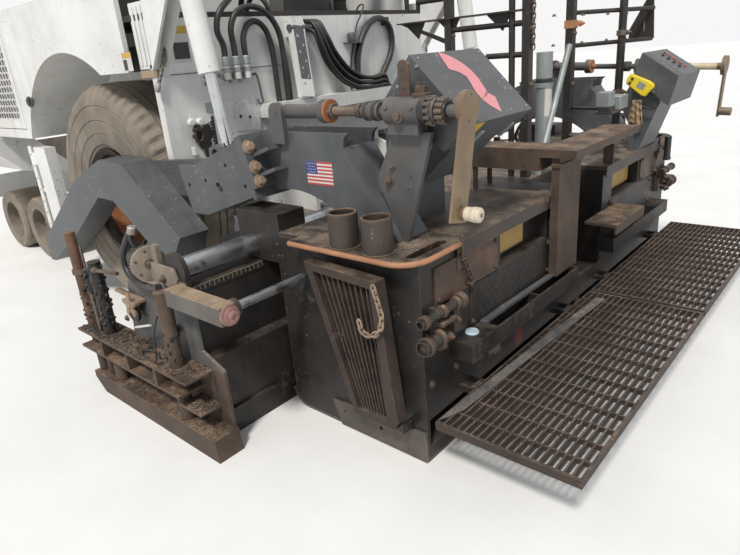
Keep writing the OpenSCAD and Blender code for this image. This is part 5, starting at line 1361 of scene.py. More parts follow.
def buildHingeBar(mesh):
    # pointed flat bar on the left walkway's inner edge
    z = 0.2622
    plate(mesh, [(-0.079, 1.560, z), (-0.083, 1.470, z), (-0.118, 0.640, z), (-0.148, 0.095, z),
                 (-0.196, 0.095, z), (-0.166, 0.640, z), (-0.128, 1.440, z), (-0.110, 1.500, z)], (0, 0, 1),
          0.006)


addPiece("hingeBar", buildHingeBar, "greyPaint", "walkway_left", 0.001)
print("screed dressed")


# end gates: what sits on them, the same on both sides
def addPair(name, build, finish, kind, bevel=0.0, smooth=40.0):
    for side, label in bothSides:
        def buildSide(mesh):
            build(mesh)
            for vert in mesh.verts:
                vert.co.y *= side
        addPiece(name + label.capitalize(), buildSide, finish, kind + "_" + label, bevel, smooth)


gear = {"place": (1.200, 1.962, 0.838), "axis": (-0.97, 0.20, 0.06), "radius": 0.082, "teeth": 30}


def buildGearCover(mesh):
    hub, r = at(*gear["place"]), gear["radius"]
    lathe(mesh, [(r * 0.93, -0.012), (r, -0.004), (r, 0.004), (r * 0.97, 0.007), (r * 0.50, 0.011),
                 (0.030, 0.012)],
          hub, gear["axis"], 40)
    plate(mesh, [(1.230, 1.9555, 0.765), (1.000, 1.9555, 0.750), (0.975, 1.9555, 0.800),
                 (0.990, 1.9555, 0.850), (1.230, 1.9555, 0.850)], (0, 1, 0), 0.012)
    slab(mesh, (1.13, 1.17), (1.930, 1.9555), (0.76, 0.93))


def buildGearTeeth(mesh):
    hub, r = at(*gear["place"]), gear["radius"]
    axis = Vector(gear["axis"]).normalized()
    lathe(mesh, [(r * 0.80, -0.075), (r * 0.86, -0.070), (r * 0.86, -0.012)], hub, axis, 36)
    side = axis.orthogonal().normalized()
    other = axis.cross(side)
    for k in range(gear["teeth"]):
        a = 2 * math.pi * k / gear["teeth"]
        out = side * math.cos(a) + other * math.sin(a)
        lathe(mesh, [(0.0062, -0.056), (0.0062, -0.018)], hub + out * (r * 0.90), axis, 6)
    lathe(mesh, [(0.045, -0.190), (0.052, -0.185), (0.052, -0.075)], hub, axis, 24)
    pipe(mesh, smoothPath([hub - axis * 0.13 + Vector((0, 0, 0.045)), at(1.335, 1.955, 0.930),
                           at(1.322, 1.948, 0.972)], 5),
         0.013, 10)


def buildGearScrews(mesh):
    hub, axis = at(*gear["place"]), Vector(gear["axis"]).normalized()
    side = axis.orthogonal().normalized()
    other = axis.cross(side)
    for k in range(6):
        a = k * math.pi / 3 + 0.4
        bolt(mesh, hub + axis * 0.006 + (side * math.cos(a) + other * math.sin(a)) * 0.062, axis, 0.012,
             0.007, False)
    bolt(mesh, hub + axis * 0.010, axis, 0.028, 0.014)
    nut(mesh, at(1.080, 1.9675, 0.790), (0, 1, 0), 0.024, 0.014)
    # clamp ring and its bolt on the front pipe
    lathe(mesh, [(0.031, 0), (0.036, 0.002), (0.036, 0.028), (0.031, 0.030)],
          at(1.878, 2.015, 0.680), (0, 0, 1), 24)
    nut(mesh, at(1.845, 2.020, 0.695), (-1, 0.4, 0), 0.018, 0.012)
    # rods between the posts, and their ends
    pipe(mesh, [at(1.660, 2.030, 0.745), at(1.395, 2.030, 0.775)], 0.010, 10)
    lathe(mesh, [(0.014, 0), (0.018, 0.002), (0.018, 0.030), (0.012, 0.034)], at(1.660, 2.030, 0.745),
          (-1, 0, 0.12), 12)
    pipe(mesh, [at(1.773, 2.020, 0.725), at(1.773, 2.020, 0.850)], 0.007, 8)
    pipe(mesh, [at(1.735, 2.040, 0.40), at(1.735, 2.040, 0.60)], 0.009, 8)
    for x, z in ((1.52, 0.58), (1.60, 0.46), (1.24, 0.50), (1.18, 0.61)):
        bolt(mesh, at(x, 1.9453, z), (0, 1, 0), 0.020, 0.009)


def buildStar(mesh):
    # five-lobed hand wheel with its screw
    hub = at(1.385, 1.992, 0.606)
    tips = []
    for k in range(60):
        a = 2 * math.pi * k / 60
        r = 0.046 + 0.020 * math.cos(5 * a)
        tips.append((1.385 + r * math.cos(a + 0.3), 2.004, 0.606 + r * math.sin(a + 0.3)))
    plate(mesh, tips, (0, 1, 0), 0.014)
    lathe(mesh, [(0.018, -0.02), (0.018, 0.030), (0.014, 0.034)], hub, (0, 1, 0), 16)
    pipe(mesh, [at(1.385, 1.946, 0.606), at(1.385, 2.010, 0.606)], 0.010, 10)


def buildNutStack(mesh):
    base = at(0.586, 1.9925, 0.742)
    lathe(mesh, [(0.040, 0.0), (0.044, 0.003), (0.044, 0.012), (0.040, 0.014), (0.032, 0.016),
                 (0.036, 0.019), (0.036, 0.028), (0.032, 0.030), (0.024, 0.031), (0.024, 0.041),
                 (0.020, 0.043), (0.013, 0.0435), (0.012, 0.036), (0.003, 0.036)], base, (-1, 0, 0), 32)


def buildTopBars(mesh):
    # a flat bar along the gate's upper edge
    plate(mesh, [(1.600, 1.9455, 0.622), (1.600, 1.9455, 0.635), (1.350, 1.9455, 0.624),
                 (1.350, 1.9455, 0.611)],
          (0, 1, 0), 0.030)


addPair("gearCover", buildGearCover, "castTan", "extension", 0.0012)
addPair("gearTeeth", buildGearTeeth, "signBlack", "extension", 0.0006)
addPair("gateScrews", buildGearScrews, "boltSteel", "extension", 0.0006)
addPair("starWheel", buildStar, "tarnishedTan", "extension", 0.003)
addPair("nutStack", buildNutStack, "nutPink", "extension", 0.0005)
addPair("topBars", buildTopBars, "tarnishedTan", "extension", 0.0015)
addPair("whiteRod", lambda mesh: pipe(mesh, [at(1.385, 2.010, 0.489), at(1.226, 2.010, 0.540)], 0.0062, 10),
        "signWhite", "extension")

for side, label in bothSides:
    fitting = addPiece("hoseFitting" + label.capitalize(), lambda mesh: lathe(
        mesh, [(0.0175, -0.012), (0.023, -0.010), (0.023, 0.020), (0.0175, 0.026)],
        at(1.322, side * 1.948, 0.970), (-0.3, side * -0.1, 1.0), 8), "brightBolt", "extension_" + label,
                       0.0008)
    places = [(1.318, 1.946, 0.985), (1.375, 1.955, 0.925), (1.425, 1.962, 0.855), (1.440, 1.962, 0.790),
              (1.400, 1.968, 0.742), (1.320, 1.975, 0.722), (1.230, 1.985, 0.728), (1.140, 1.998, 0.742),
              (1.062, 2.010, 0.765)]
    addHose("gateHose" + label.capitalize(), [(x, side * y, z) for x, y, z in places[::-1]], 0.017,
            "hoseRubber", "extension_" + label, sides=14)
    places = [(1.066, 2.045, 0.640), (1.082, 2.070, 0.560), (1.100, 2.072, 0.470), (1.120, 2.070, 0.410),
              (1.180, 2.066, 0.3935), (1.270, 2.060, 0.3935), (1.300, 2.030, 0.3935), (1.240, 2.010, 0.3935),
              (1.160, 2.030, 0.3935)]
    addHose("gateWire" + label.capitalize(), [(x, side * y, z) for x, y, z in places], 0.0042, "hoseRubber",
            "extension_" + label, sides=8)

ruler = {"from": 1.53, "to": 1.92, "step": 0.025}


def buildRulerBand(mesh):
    slab(mesh, (0.9440, 0.9505), (ruler["from"] - 0.008, ruler["to"] + 0.006), (0.724, 0.7575))


def buildRulerTicks(mesh):
    count = int((ruler["to"] - ruler["from"]) / ruler["step"]) + 1
    for k in range(count):
        y = ruler["from"] + k * ruler["step"]
        low = 0.729 if k % 2 else 0.735
        slab(mesh, (0.9432, 0.9442), (y - 0.0016, y + 0.0016), (low, 0.7540))
    slab(mesh, (0.9432, 0.9442), (ruler["from"] - 0.004, ruler["to"] + 0.004), (0.7540, 0.7575))


def buildRodEnd(mesh):
    lathe(mesh, [(0.018, 0), (0.018, 0.030), (0.012, 0.034)], at(1.095, 1.9453, 0.531), (0, 1, 0), 12)


addPair("rulerBand", buildRulerBand, "signBlack", "extension", 0.0006, 0)
addPair("rulerTicks", buildRulerTicks, "tarnishedTan", "extension", smooth=0)
addPair("rodEnd", buildRodEnd, "rustySteel", "extension", 0.0006)

# asphalt crumbs and tar where they collect: (x range, y range, height, count, size range)
crumbBeds = [
    ((0.87, 1.90), (1.950, 2.086), 0.3855, 520, (0.003, 0.0085)),
    ((1.50, 1.90), (1.950, 2.080), 0.3875, 260, (0.004, 0.011)),
    ((0.78, 1.88), (1.952, 2.058), 0.1105, 420, (0.0025, 0.006)),
    ((0.848, 1.004), (1.955, 2.055), 0.2135, 90, (0.003, 0.008)),
    ((0.890, 1.330), (0.50, 1.920), 0.4205, 520, (0.003, 0.009)),
]


def buildCrumbs(mesh):
    for xs, ys, z, count, sizes in crumbBeds:
        for _ in range(count):
            size = chance.uniform(*sizes) * chance.uniform(0.6, 1.0)
            lump(mesh, at(chance.uniform(*xs), chance.uniform(*ys), z + size * 0.25), size, 0.7)


def buildTar(mesh):
    # drips and cakes of tar on the posts
    for x, r, low, high, count in ((1.670, 0.033, 0.40, 0.76, 90), (1.780, 0.021, 0.40, 0.70, 60),
                                   (1.878, 0.027, 0.40, 0.60, 26), (1.040, 0.035, 0.40, 0.56, 22)):
        for _ in range(count):
            a = chance.uniform(0, 6.28)
            size = chance.uniform(0.005, 0.013)
            lump(mesh, at(x + math.cos(a) * r, 2.015 + math.sin(a) * r, chance.uniform(low, high)), size,
                 1.3)


addPair("crumbs", buildCrumbs, "crumb", "extension", smooth=0)
addPair("tarCakes", buildTar, "tar", "extension", smooth=60.0)
print("end gates dressed")


# rear tyres: the same form as the solids, with ribs, shoulder lugs and rings on the sidewall
tyre = {"place": (2.85, 0.80), "inner": 0.80, "outer": 1.30, "bead": 0.352, "lugs": 56}


def tyreProfile():
    low, high = tyre["inner"], tyre["outer"]
    half = [(tyre["bead"], 0.062), (0.385, 0.032), (0.400, 0.030), (0.405, 0.020), (0.470, 0.006),
            (0.476, 0.011), (0.482, 0.005), (0.560, 0.002), (0.566, 0.008), (0.572, 0.002), (0.655, 0.004),
            (0.662, 0.011), (0.668, 0.006), (0.715, 0.012), (0.745, 0.026), (0.768, 0.050)]
    tread = [(0.786, 0.070), (0.795, 0.090), (0.795, 0.118), (0.780, 0.121), (0.780, 0.131), (0.797, 0.134),
             (0.799, 0.176), (0.784, 0.179), (0.784, 0.189), (0.799, 0.192), (0.800, 0.250)]
    near = [(r, low + y) for r, y in half + tread]
    far = [(r, high - y) for r, y in (half + tread)[-2::-1]]
    return near + far


def buildTyre(mesh, side):
    hub = at(tyre["place"][0], 0, tyre["place"][1])
    steps = tyre["lugs"] * 4
    rings = []
    for r, y in tyreProfile():
        ring = []
        for k in range(steps):
            reach = r
            edge = min(y - tyre["inner"], tyre["outer"] - y)
            if r > 0.74 and edge < 0.115 and k % 4 in (2, 3):
                reach = r - 0.024
            a = 2 * math.pi * k / steps
            ring.append(mesh.verts.new(hub + Vector((math.cos(a) * reach, side * y, math.sin(a) * reach))))
        rings.append(ring)
    for i in range(len(rings)):
        near, far = rings[i], rings[(i + 1) % len(rings)]
        for k in range(steps):
            mesh.faces.new((near[k], near[(k + 1) % steps], far[(k + 1) % steps], far[k]))


for side, label in bothSides:
    rubber = addPiece("rearTread" + label.capitalize(), lambda mesh: buildTyre(mesh, side), "tyreRubber",
                      "rear_wheel_" + label, smooth=32.0)
    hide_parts("rear_tyre_" + label)


# body corner beside the bulkhead: a pressed panel and the strip below it
def buildCornerPanel(mesh):
    for side in (1, -1):
        slab(mesh, (1.960, 2.120), (side * 1.285, side * 1.300), (1.660, 2.010))
        for x in (1.985, 2.030, 2.075):
            slab(mesh, (x, x + 0.022), (side * 1.300, side * 1.307), (1.680, 1.990))


def buildWallWhite(mesh):
    # ears, bosses and the plate's raised edge on the rear wall
    x = 1.940
    plate(mesh, [(x, 1.156, 1.392), (x, 1.014, 1.380), (x, 1.010, 1.336), (x, 1.060, 1.318),
                 (x, 1.156, 1.330)],
          (-1, 0, 0), 0.012)
    plate(mesh, [(x, 0.822, 1.408), (x, 0.621, 1.379), (x, 0.631, 1.229), (x, 0.822, 1.245)], (-1, 0, 0),
          0.006)
    for y, z in ((1.157, 1.346), (1.097, 1.340)):
        lathe(mesh, [(0.024, 0), (0.024, 0.018), (0.016, 0.026)], at(x - 0.010, y, z), (-1, 0, 0), 20)
    for y, z in ((1.172, 1.179), (1.052, 1.152)):
        slab(mesh, (x - 0.040, x), (y - 0.008, y + 0.008), (z - 0.024, z + 0.024))


def buildWallBlack(mesh):
    x = 1.9395
    for y, z, r in ((0.783, 1.334, 0.011), (0.711, 1.321, 0.011)):
        lathe(mesh, [(r, 0), (r, 0.0012)], at(x - 0.0058, y, z), (-1, 0, 0), 16)
    slab(mesh, (x - 0.0012, x), (0.392, 1.221), (1.6165, 1.6215))
    # perforated strip with its row of teeth
    for k in range(11):
        z = 1.150 + k * 0.0195
        slab(mesh, (x - 0.006, x), (0.990, 1.012 + 0.006 * (k % 2)), (z, z + 0.0125))
    slab(mesh, (x - 0.004, x), (0.986, 0.998), (1.146, 1.364))


def buildShackle(mesh):
    x = 1.915
    loop = [at(x, 1.122 + 0.026 * math.sin(a), 1.263 - 0.034 * math.cos(a)) for a in
            [math.radians(d) for d in range(-140, 141, 20)]]
    pipe(mesh, loop, 0.0085, 10)
    pipe(mesh, [at(x, 1.086, 1.300), at(x, 1.158, 1.300)], 0.010, 10)
    slab(mesh, (1.905, 1.940), (1.112, 1.132), (1.290, 1.330))
    slab(mesh, (1.925, 1.940), (1.088, 1.156), (1.252, 1.270))


def buildWallBlotch(mesh):
    # where the paint has come off round the shackle
    x, count = 1.9392, 46
    rim = []
    for k in range(count):
        a = 2 * math.pi * k / count
        r = 1.0 + 0.22 * math.sin(3 * a + 0.6) + 0.14 * math.sin(7 * a) + chance.uniform(-0.09, 0.09)
        rim.append((x, 1.068 + 0.060 * r * math.cos(a), 1.235 + 0.088 * r * math.sin(a)))
    plate(mesh, rim, (-1, 0, 0), 0.0009)


addPiece("cornerPanel", buildCornerPanel, "whitePaint", "tractor", 0.002)
addPiece("cornerStrip", lambda mesh: [slab(mesh, (1.945, 2.120), (side * 1.285, side * 1.306),
                                           (1.612, 1.655))
                                      for side in (1, -1)], "tarnishedTan", "tractor", 0.002)
addPiece("wallEars", buildWallWhite, "whitePaint", "tractor", 0.0015)
addPiece("wallMarks", buildWallBlack, "signBlack", "tractor", 0.0003)
addPiece("wallShackle", buildShackle, "rustySteel", "tractor", 0.0008)
addPiece("wallBlotch", buildWallBlotch, "signBlack", "tractor", smooth=0)
labelPiece("wallNameplate", "zincSteel", "tractor",
           [(1.9392, 1.031, 1.377), (1.9392, 0.975, 1.377), (1.9392, 0.975, 1.443), (1.9392, 1.031, 1.443)])
print("tractor details placed")


# right-hand controls, and what hangs on them
def buildPendant(mesh):
    # pendant control held against the box's near face
    y = -0.828
    plate(mesh, [(0.053, y, 1.399), (0.072, y, 1.372), (0.079, y, 1.341), (-0.020, y, 1.266),
                 (-0.042, y, 1.260), (-0.089, y, 1.312), (-0.089, y, 1.330), (-0.060, y, 1.352)], (0, 1, 0),
          0.034)


def buildPendantBits(mesh):
    y = -0.794
    lathe(mesh, [(0.014, 0), (0.014, 0.022), (0.009, 0.030)], at(-0.076, -0.811, 1.290), (-0.7, 0, -0.7), 12)
    for x, z in ((0.038, 1.368), (0.052, 1.344)):
        lathe(mesh, [(0.009, 0), (0.009, 0.006), (0.007, 0.008)], at(x, y, z), (0, 1, 0), 14)


addPiece("pendantLabel", lambda mesh: plate(mesh, [(-0.046, -0.794, 1.330), (-0.006, -0.794, 1.354),
                                                   (0.014, -0.794, 1.322), (-0.028, -0.794, 1.298)],
                                            (0, 1, 0), 0.0015), "zincSteel", "screed", smooth=0)
addPiece("pendant", buildPendant, "pendantYellow", "screed", 0.006)
addPiece("pendantBits", buildPendantBits, "caseBlack", "screed", 0.0006)
addHose("pendantLead", [(-0.090, -0.811, 1.276), (-0.120, -0.814, 1.245), (-0.118, -0.812, 1.205),
                        (-0.070, -0.812, 1.185), (-0.020, -0.824, 1.204), (-0.006, -0.834, 1.226)],
        0.0055, "hoseRubber", "screed", sides=10)


def buildRag(mesh):
    # a rag pushed behind the pendant: a crumpled sheet with folds that fan out
    columns, rows = 22, 26
    grid = []
    for i in range(rows):
        v = i / (rows - 1)
        line = []
        for k in range(columns):
            u = k / (columns - 1)
            spread = 0.045 + 0.030 * v
            fold = 0.010 * math.sin(u * 17 + v * 2.1) * (0.3 + v) + 0.005 * math.sin(u * 41 + v * 7)
            fold += 0.003 * math.sin(v * 23 + u * 5)
            line.append(mesh.verts.new(at(0.006 + (u - 0.5) * spread * 2 * 0.62, -0.812 + fold,
                                          1.240 - 0.150 * v - 0.016 * math.sin(u * 6.0) * v)))
        grid.append(line)
    for i in range(rows - 1):
        for k in range(columns - 1):
            mesh.faces.new((grid[i][k], grid[i][k + 1], grid[i + 1][k + 1], grid[i + 1][k]))


rag = addPiece("rag", buildRag, "ragCloth", "screed", smooth=80.0)
thick = rag.modifiers.new("thickness", "SOLIDIFY")
thick.thickness = 0.0022
thick.offset = 0.0


# the right box's top face runs from its rear edge up to its front edge
rightTop = {"rear": (-0.214, 1.370), "front": (0.005, 1.515)}


def onRightTop(share, y):
    rear, front = rightTop["rear"], rightTop["front"]
    return at(rear[0] + (front[0] - rear[0]) * share, y, rear[1] + (front[1] - rear[1]) * share)


def buildBoxRibs(mesh):
    # pressed ribs and switches on the right box
    for k in range(4):
        y = -0.852 - k * 0.024
        pipe(mesh, [onRightTop(0.02, y), onRightTop(0.98, y)], 0.0052, 8)
    for k in range(4):
        lathe(mesh, [(0.010, -0.001), (0.010, 0.008), (0.006, 0.010), (0.005, 0.022)],
              onRightTop(0.30 + k * 0.16, -1.08), (-0.552, 0, 0.834), 12)


def buildSwitchCaps(mesh):
    for k in range(4):
        lathe(mesh, [(0.011, -0.001), (0.011, 0.006), (0.008, 0.009)], onRightTop(0.26 + k * 0.17, -1.16),
              (-0.552, 0, 0.834), 16)


addPiece("boxRibs", buildBoxRibs, "caseBlack", "screed", smooth=60.0)
addPiece("switchCaps", buildSwitchCaps, "flagRed", "screed", 0.0006)


def buildRightSteel(mesh):
    # clamps on the round posts and the pole, and bolts on the centre frame
    for x, y, z, r in ((0.249, -1.165, 1.24, 0.026), (0.249, -1.165, 1.62, 0.026),
                       (0.386, 0.100, 1.36, 0.017)):
        lathe(mesh, [(r, 0), (r + 0.010, 0.002), (r + 0.010, 0.034), (r, 0.036)], at(x, y, z), (0, 0, 1), 20)
        nut(mesh, at(x - r - 0.008, y, z + 0.018), (-1, 0, 0), 0.020, 0.014)
    for z in (1.10, 1.42, 1.70):
        for x in (0.296, 0.780):
            bolt(mesh, at(x - 0.022, 0.100, z), (-1, 0, 0), 0.018, 0.010)
    for z in (1.02, 1.35, 1.66):
        bolt(mesh, at(0.407, -0.762, z), (-1, 0, 0), 0.020, 0.010)
    for y in (-1.35, -1.00, -0.60, -0.20):
        for z in (1.575, 1.730):
            bolt(mesh, at(0.290, y, z + 0.024), (0, 0, 1), 0.014, 0.008)


def buildRustClamp(mesh):
    hub = at(0.432, -0.762, 1.700)
    slab(mesh, (0.400, 0.464), (-0.794, -0.730), (1.690, 1.738))
    slab(mesh, (0.372, 0.400), (-0.785, -0.739), (1.698, 1.730))
    nut(mesh, hub + Vector((-0.060, 0, 0.014)), (-1, 0, 0), 0.022, 0.016)


addPiece("postClamps", buildRightSteel, "boltSteel", "screed", 0.0006)
addPiece("rustClamp", buildRustClamp, "orangeRust", "screed", 0.003)

# chain on the middle post, with links turned by turns
chain = {"x": 0.262, "y": 0.100, "top": 1.905, "links": 13, "pitch": 0.0245, "wire": 0.0036}


def buildLinks(mesh, places, wire, length, width):
    # each link lies along the chain and is turned a quarter from the one before
    for k, place in enumerate(places):
        ahead = (places[min(k + 1, len(places) - 1)] - places[max(k - 1, 0)]).normalized()
        across = Vector((0, 1, 0)) if k % 2 else ahead.cross(Vector((0, 1, 0))).normalized()
        loop = []
        for step in range(20):
            a = 2 * math.pi * step / 20
            s = math.sin(a)
            loop.append(place + across * (math.cos(a) * width)
                        + ahead * (s * width + math.copysign(length, s) * (abs(s) ** 0.3)))
        pipe(mesh, loop, wire, 8, closed=True)


def buildPostChain(mesh):
    places = [at(chain["x"], chain["y"], chain["top"] - k * chain["pitch"]) for k in range(chain["links"])]
    buildLinks(mesh, places, chain["wire"], 0.0085, 0.0085)
    pipe(mesh, [at(chain["x"], chain["y"], chain["top"] + 0.012),
                at(0.276, chain["y"], chain["top"] + 0.012)],
         0.005, 8)


addPiece("postChain", buildPostChain, "boltSteel", "screed", smooth=60.0)


def buildStepChain(mesh, side):
    # slack safety chain that hangs on the end step's rear side
    spine = smoothPath([at(x, side * 1.645, z) for x, z in (
        (0.130, 0.822), (0.112, 0.760), (0.100, 0.700), (0.118, 0.645), (0.165, 0.612), (0.208, 0.622),
        (0.222, 0.675))], 12)
    places, walked, due = [], 0.0, 0.0
    for near, far in zip(spine, spine[1:]):
        walked += (far - near).length
        if walked >= due:
            places.append(far)
            due += 0.0265
    buildLinks(mesh, places, 0.0046, 0.0090, 0.0095)


# canister: cap, bands and bare label about its axis
canister = (0.410, -0.350)


def buildCanCap(mesh):
    lathe(mesh, [(0.047, 0), (0.047, 0.010), (0.044, 0.030), (0.034, 0.046), (0.018, 0.055), (0.004, 0.057)],
          at(*canister, 1.4205), (0, 0, 1), 32)


def buildCanSleeve(mesh):
    for z, high in ((1.397, 0.022), (0.940, 0.030)):
        lathe(mesh, [(0.0485, 0), (0.0505, 0.003), (0.0505, high), (0.0485, high + 0.003)],
              at(*canister, z), (0, 0, 1), 32)


def buildCanLabel(mesh):
    edges = []
    for k in range(13):
        a = math.pi + math.radians(-58 + k * 9.7)
        edges.append([mesh.verts.new(at(canister[0] + math.cos(a) * 0.0486,
                                        canister[1] + math.sin(a) * 0.0486, z))
                      for z in (1.20, 1.385)])
    for near, far in zip(edges, edges[1:]):
        mesh.faces.new((near[0], near[1], far[1], far[0]))


addPiece("canisterBands", buildCanSleeve, "signBlack", "screed", smooth=50.0)
addPiece("canisterLabel", buildCanLabel, "signWhite", "screed", smooth=60.0)


def buildOval(mesh):
    rim = [(0.1985, -1.470 + 0.034 * math.cos(k * math.pi / 16), 1.668 + 0.050 * math.sin(k * math.pi / 16))
           for k in range(32)]
    plate(mesh, rim, (-1, 0, 0), 0.0012)


def buildHandle(mesh):
    # black rubber grip that hangs at the right crank
    lathe(mesh, [(0.018, 0), (0.022, 0.006), (0.022, 0.150), (0.026, 0.156), (0.026, 0.166), (0.018, 0.170)],
          at(-0.100, -1.180, 0.965), (0.05, -0.25, -1.0), 20)


def buildSmallBoxes(mesh):
    slab(mesh, (0.055, 0.135), (-0.560, -0.470), (1.235, 1.320))
    slab(mesh, (0.035, 0.135), (-0.735, -0.600), (1.205, 1.285))


def buildBoxBar(mesh):
    # bar from the post that carries the two small boxes
    slab(mesh, (0.035, 0.135), (-0.735, -0.470), (1.193, 1.206))
    slab(mesh, (0.050, 0.120), (-0.560, -0.470), (1.206, 1.236))
    pipe(mesh, [at(0.120, -0.700, 1.199), at(0.410, -0.765, 1.199)], 0.011, 10)


addPiece("boxBar", buildBoxBar, "signBlack", "screed", 0.001)
addPiece("smallBoxes", buildSmallBoxes, "zincSteel", "screed", 0.004)


for side, label in bothSides:
    addPiece("stepChain" + label.capitalize(), lambda mesh: buildStepChain(mesh, side), "tarnishedTan",
             "end_step_" + label, smooth=60.0)
addPiece("canisterCap", buildCanCap, "zincSteel", "screed", smooth=50.0)
addPiece("blankOval", buildOval, "signWhite", "screed", smooth=0)
addPiece("rubberGrip", buildHandle, "caseBlack", "screed", 0.001)
print("right-hand side dressed")

# seats: crowned cushions whose sides pull in between the corners, with piping and sewn channels
seat = {"x": 2.48, "y": 0.82, "floor": 1.950, "half": 0.229, "low": 2.196, "high": 2.312,
        "backThick": 0.108, "backTop": 2.796, "crown": 0.012, "pull": 0.010}


def cushionMesh(mesh, centre, half, facing, channels):
    # a closed pillow: half sizes along its own axes, crowned towards what faces the sitter
    across, up, out = facing
    count = 26

    def shape(u, v, w):
        edge = max(abs(u), abs(v))
        roll = 1.0 - 0.10 * max(0.0, abs(w) - 0.2) ** 2 * (1 if edge > 0.85 else 0)
        pullU = 1.0 - seat["pull"] / half[0] * (1 - v * v) * (1.0 if abs(u) > 0.99 else abs(u) ** 3)
        pullV = 1.0 - seat["pull"] / half[1] * (1 - u * u) * (1.0 if abs(v) > 0.99 else abs(v) ** 3)
        crown = 0.0
        if w > 0:
            dome = (1 - abs(u) ** 3.2) * (1 - abs(v) ** 3.2)
            sewn = sum(math.exp(-((u - line) / 0.030) ** 2) for line in channels)
            crown = seat["crown"] * dome - 0.010 * min(sewn, 1.0) * (1 - v ** 8)
        return centre + across * (u * half[0] * pullU * roll) + up * (v * half[1] * pullV * roll) + out * (
            w * (half[2] - seat["crown"] - 0.001) + crown)

    def squared(k):
        t = -1 + 2 * k / count
        return math.copysign(abs(t) ** 0.82, t)

    sheets = {}
    for w in (-1, 1):
        for i in range(count + 1):
            for k in range(count + 1):
                u, v = squared(i) * 0.94, squared(k) * 0.94
                # round the corners in plan
                limit = 0.94 * (1 - 0.05 * (abs(u) * abs(v)) ** 4)
                sheets[w, i, k] = mesh.verts.new(shape(u * limit / 0.94, v * limit / 0.94, w))
    for w in (-1, 1):
        for i in range(count):
            for k in range(count):
                mesh.faces.new([sheets[w, i + a, k + b] for a, b in ((0, 0), (1, 0), (1, 1), (0, 1))])
    rim = [(i, 0) for i in range(count)] + [(count, k) for k in range(count)]
    rim += [(i, count) for i in range(count, 0, -1)] + [(0, k) for k in range(count, 0, -1)]
    levels = [[sheets[-1, i, k] for i, k in rim]]
    for step in range(1, 8):
        w = -1 + 2 * step / 8
        swell = 0.94 + 0.058 * math.sqrt(max(0.0, 1 - w * w))
        ring = []
        for i, k in rim:
            u, v = squared(i), squared(k)
            limit = swell * (1 - 0.05 * (abs(u) * abs(v) * 0.78) ** 4)
            flat = shape(u * limit, v * limit, 0) + out * (w * (half[2] - seat["crown"] - 0.001))
            ring.append(mesh.verts.new(flat))
        levels.append(ring)
    levels.append([sheets[1, i, k] for i, k in rim])
    for near, far in zip(levels, levels[1:]):
        for k in range(len(rim)):
            j = (k + 1) % len(rim)
            mesh.faces.new((near[k], near[j], far[j], far[k]))
    return levels


def buildSeatPads(mesh, side):
    centre = at(seat["x"], side * seat["y"], (seat["low"] + seat["high"]) / 2 + 0.003)
    facing = (Vector((0, 1, 0)), Vector((1, 0, 0)), Vector((0, 0, 1)))
    cushionMesh(mesh, centre, (seat["half"], seat["half"], 0.061), facing, (-0.34, 0.34))


def buildBackPads(mesh, side):
    rear = seat["x"] - seat["half"] + seat["backThick"] / 2
    centre = at(rear, side * seat["y"], (seat["high"] + seat["backTop"]) / 2 + 0.006)
    facing = (Vector((0, 1, 0)), Vector((0, 0, 1)), Vector((1, 0, 0)))
    cushionMesh(mesh, centre, (0.218, (seat["backTop"] - seat["high"]) / 2 - 0.004, 0.054), facing,
                (-0.34, 0.34))


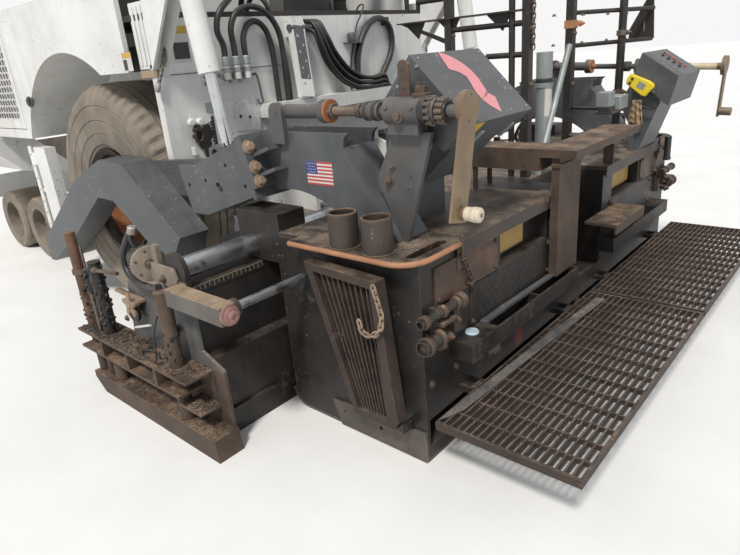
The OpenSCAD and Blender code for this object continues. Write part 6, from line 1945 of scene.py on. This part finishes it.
def buildPiping(mesh, side):
    inset = seat["half"] - 0.006
    for z in (seat["low"] + 0.020, seat["high"] - 0.028):
        loop = []
        for k in range(72):
            a = 2 * math.pi * k / 72
            c, s = math.cos(a), math.sin(a)
            x = math.copysign(abs(c) ** 0.14, c) * (inset - seat["pull"] * (1 - abs(s) ** 2) * 0.9)
            y = math.copysign(abs(s) ** 0.14, s) * (inset - seat["pull"] * (1 - abs(c) ** 2) * 0.9)
            loop.append(at(seat["x"] + x, side * seat["y"] + y, z))
        pipe(mesh, loop, 0.0042, 8, closed=True)


def buildStands(mesh):
    for side in (1, -1):
        lathe(mesh, [(0.060, 0.0), (0.060, 0.060), (0.052, 0.066), (0.052, 0.120), (0.058, 0.124),
                     (0.058, 0.150), (0.050, 0.154), (0.050, 0.246)],
              at(seat["x"], side * seat["y"], seat["floor"]), (0, 0, 1), 28)
        slab(mesh, (seat["x"] - 0.15, seat["x"] + 0.15),
             (side * (seat["y"] - 0.14), side * (seat["y"] + 0.14)), (2.186, 2.198))
        slab(mesh, (seat["x"] - 0.229, seat["x"] - 0.222),
             (side * (seat["y"] - 0.06), side * (seat["y"] + 0.06)), (2.21, 2.60))


seatPieces = [addPiece("seatStands", buildStands, "screedPaint", "tractor", 0.001)]
for side, label in bothSides:
    for name, build in (("seatPad", buildSeatPads), ("backPad", buildBackPads)):
        pad = addPiece(name + label.capitalize(), lambda mesh: build(mesh, side), "seatVinyl", "tractor",
                       smooth=70.0)
        seatPieces.append(pad)
    seatPieces.append(addPiece("seatPiping" + label.capitalize(), lambda mesh: buildPiping(mesh, side),
                               "seatVinyl", "tractor", smooth=70.0))
for piece in seatPieces:
    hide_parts("seats")
print("seats upholstered")


def addFloor():
    size = floorLook["size"]
    mesh = bpy.data.meshes.new("floor")
    mesh.from_pydata([(-size, -size, 0), (size, -size, 0), (size, size, 0), (-size, size, 0)], [],
                     [(0, 1, 2, 3)])
    floor = bpy.data.objects.new("floor", mesh)
    bpy.context.scene.collection.objects.link(floor)
    material = bpy.data.materials.new("paleFloor")
    material.use_nodes = True
    tree = material.node_tree
    shader = tree.nodes["Principled BSDF"]
    place = addNode(tree, "ShaderNodeTexCoord").outputs["Object"]
    tone = remap(tree, noiseNode(tree, place, 1.3, 5.0, 0.6), 0.35, 0.65)
    tree.links.new(mixColour(tree, tone, floorLook["pale"], floorLook["shade"]), shader.inputs["Base Color"])
    shader.inputs["Roughness"].default_value = 0.85
    mesh.materials.append(material)


addFloor()
print("floor laid")
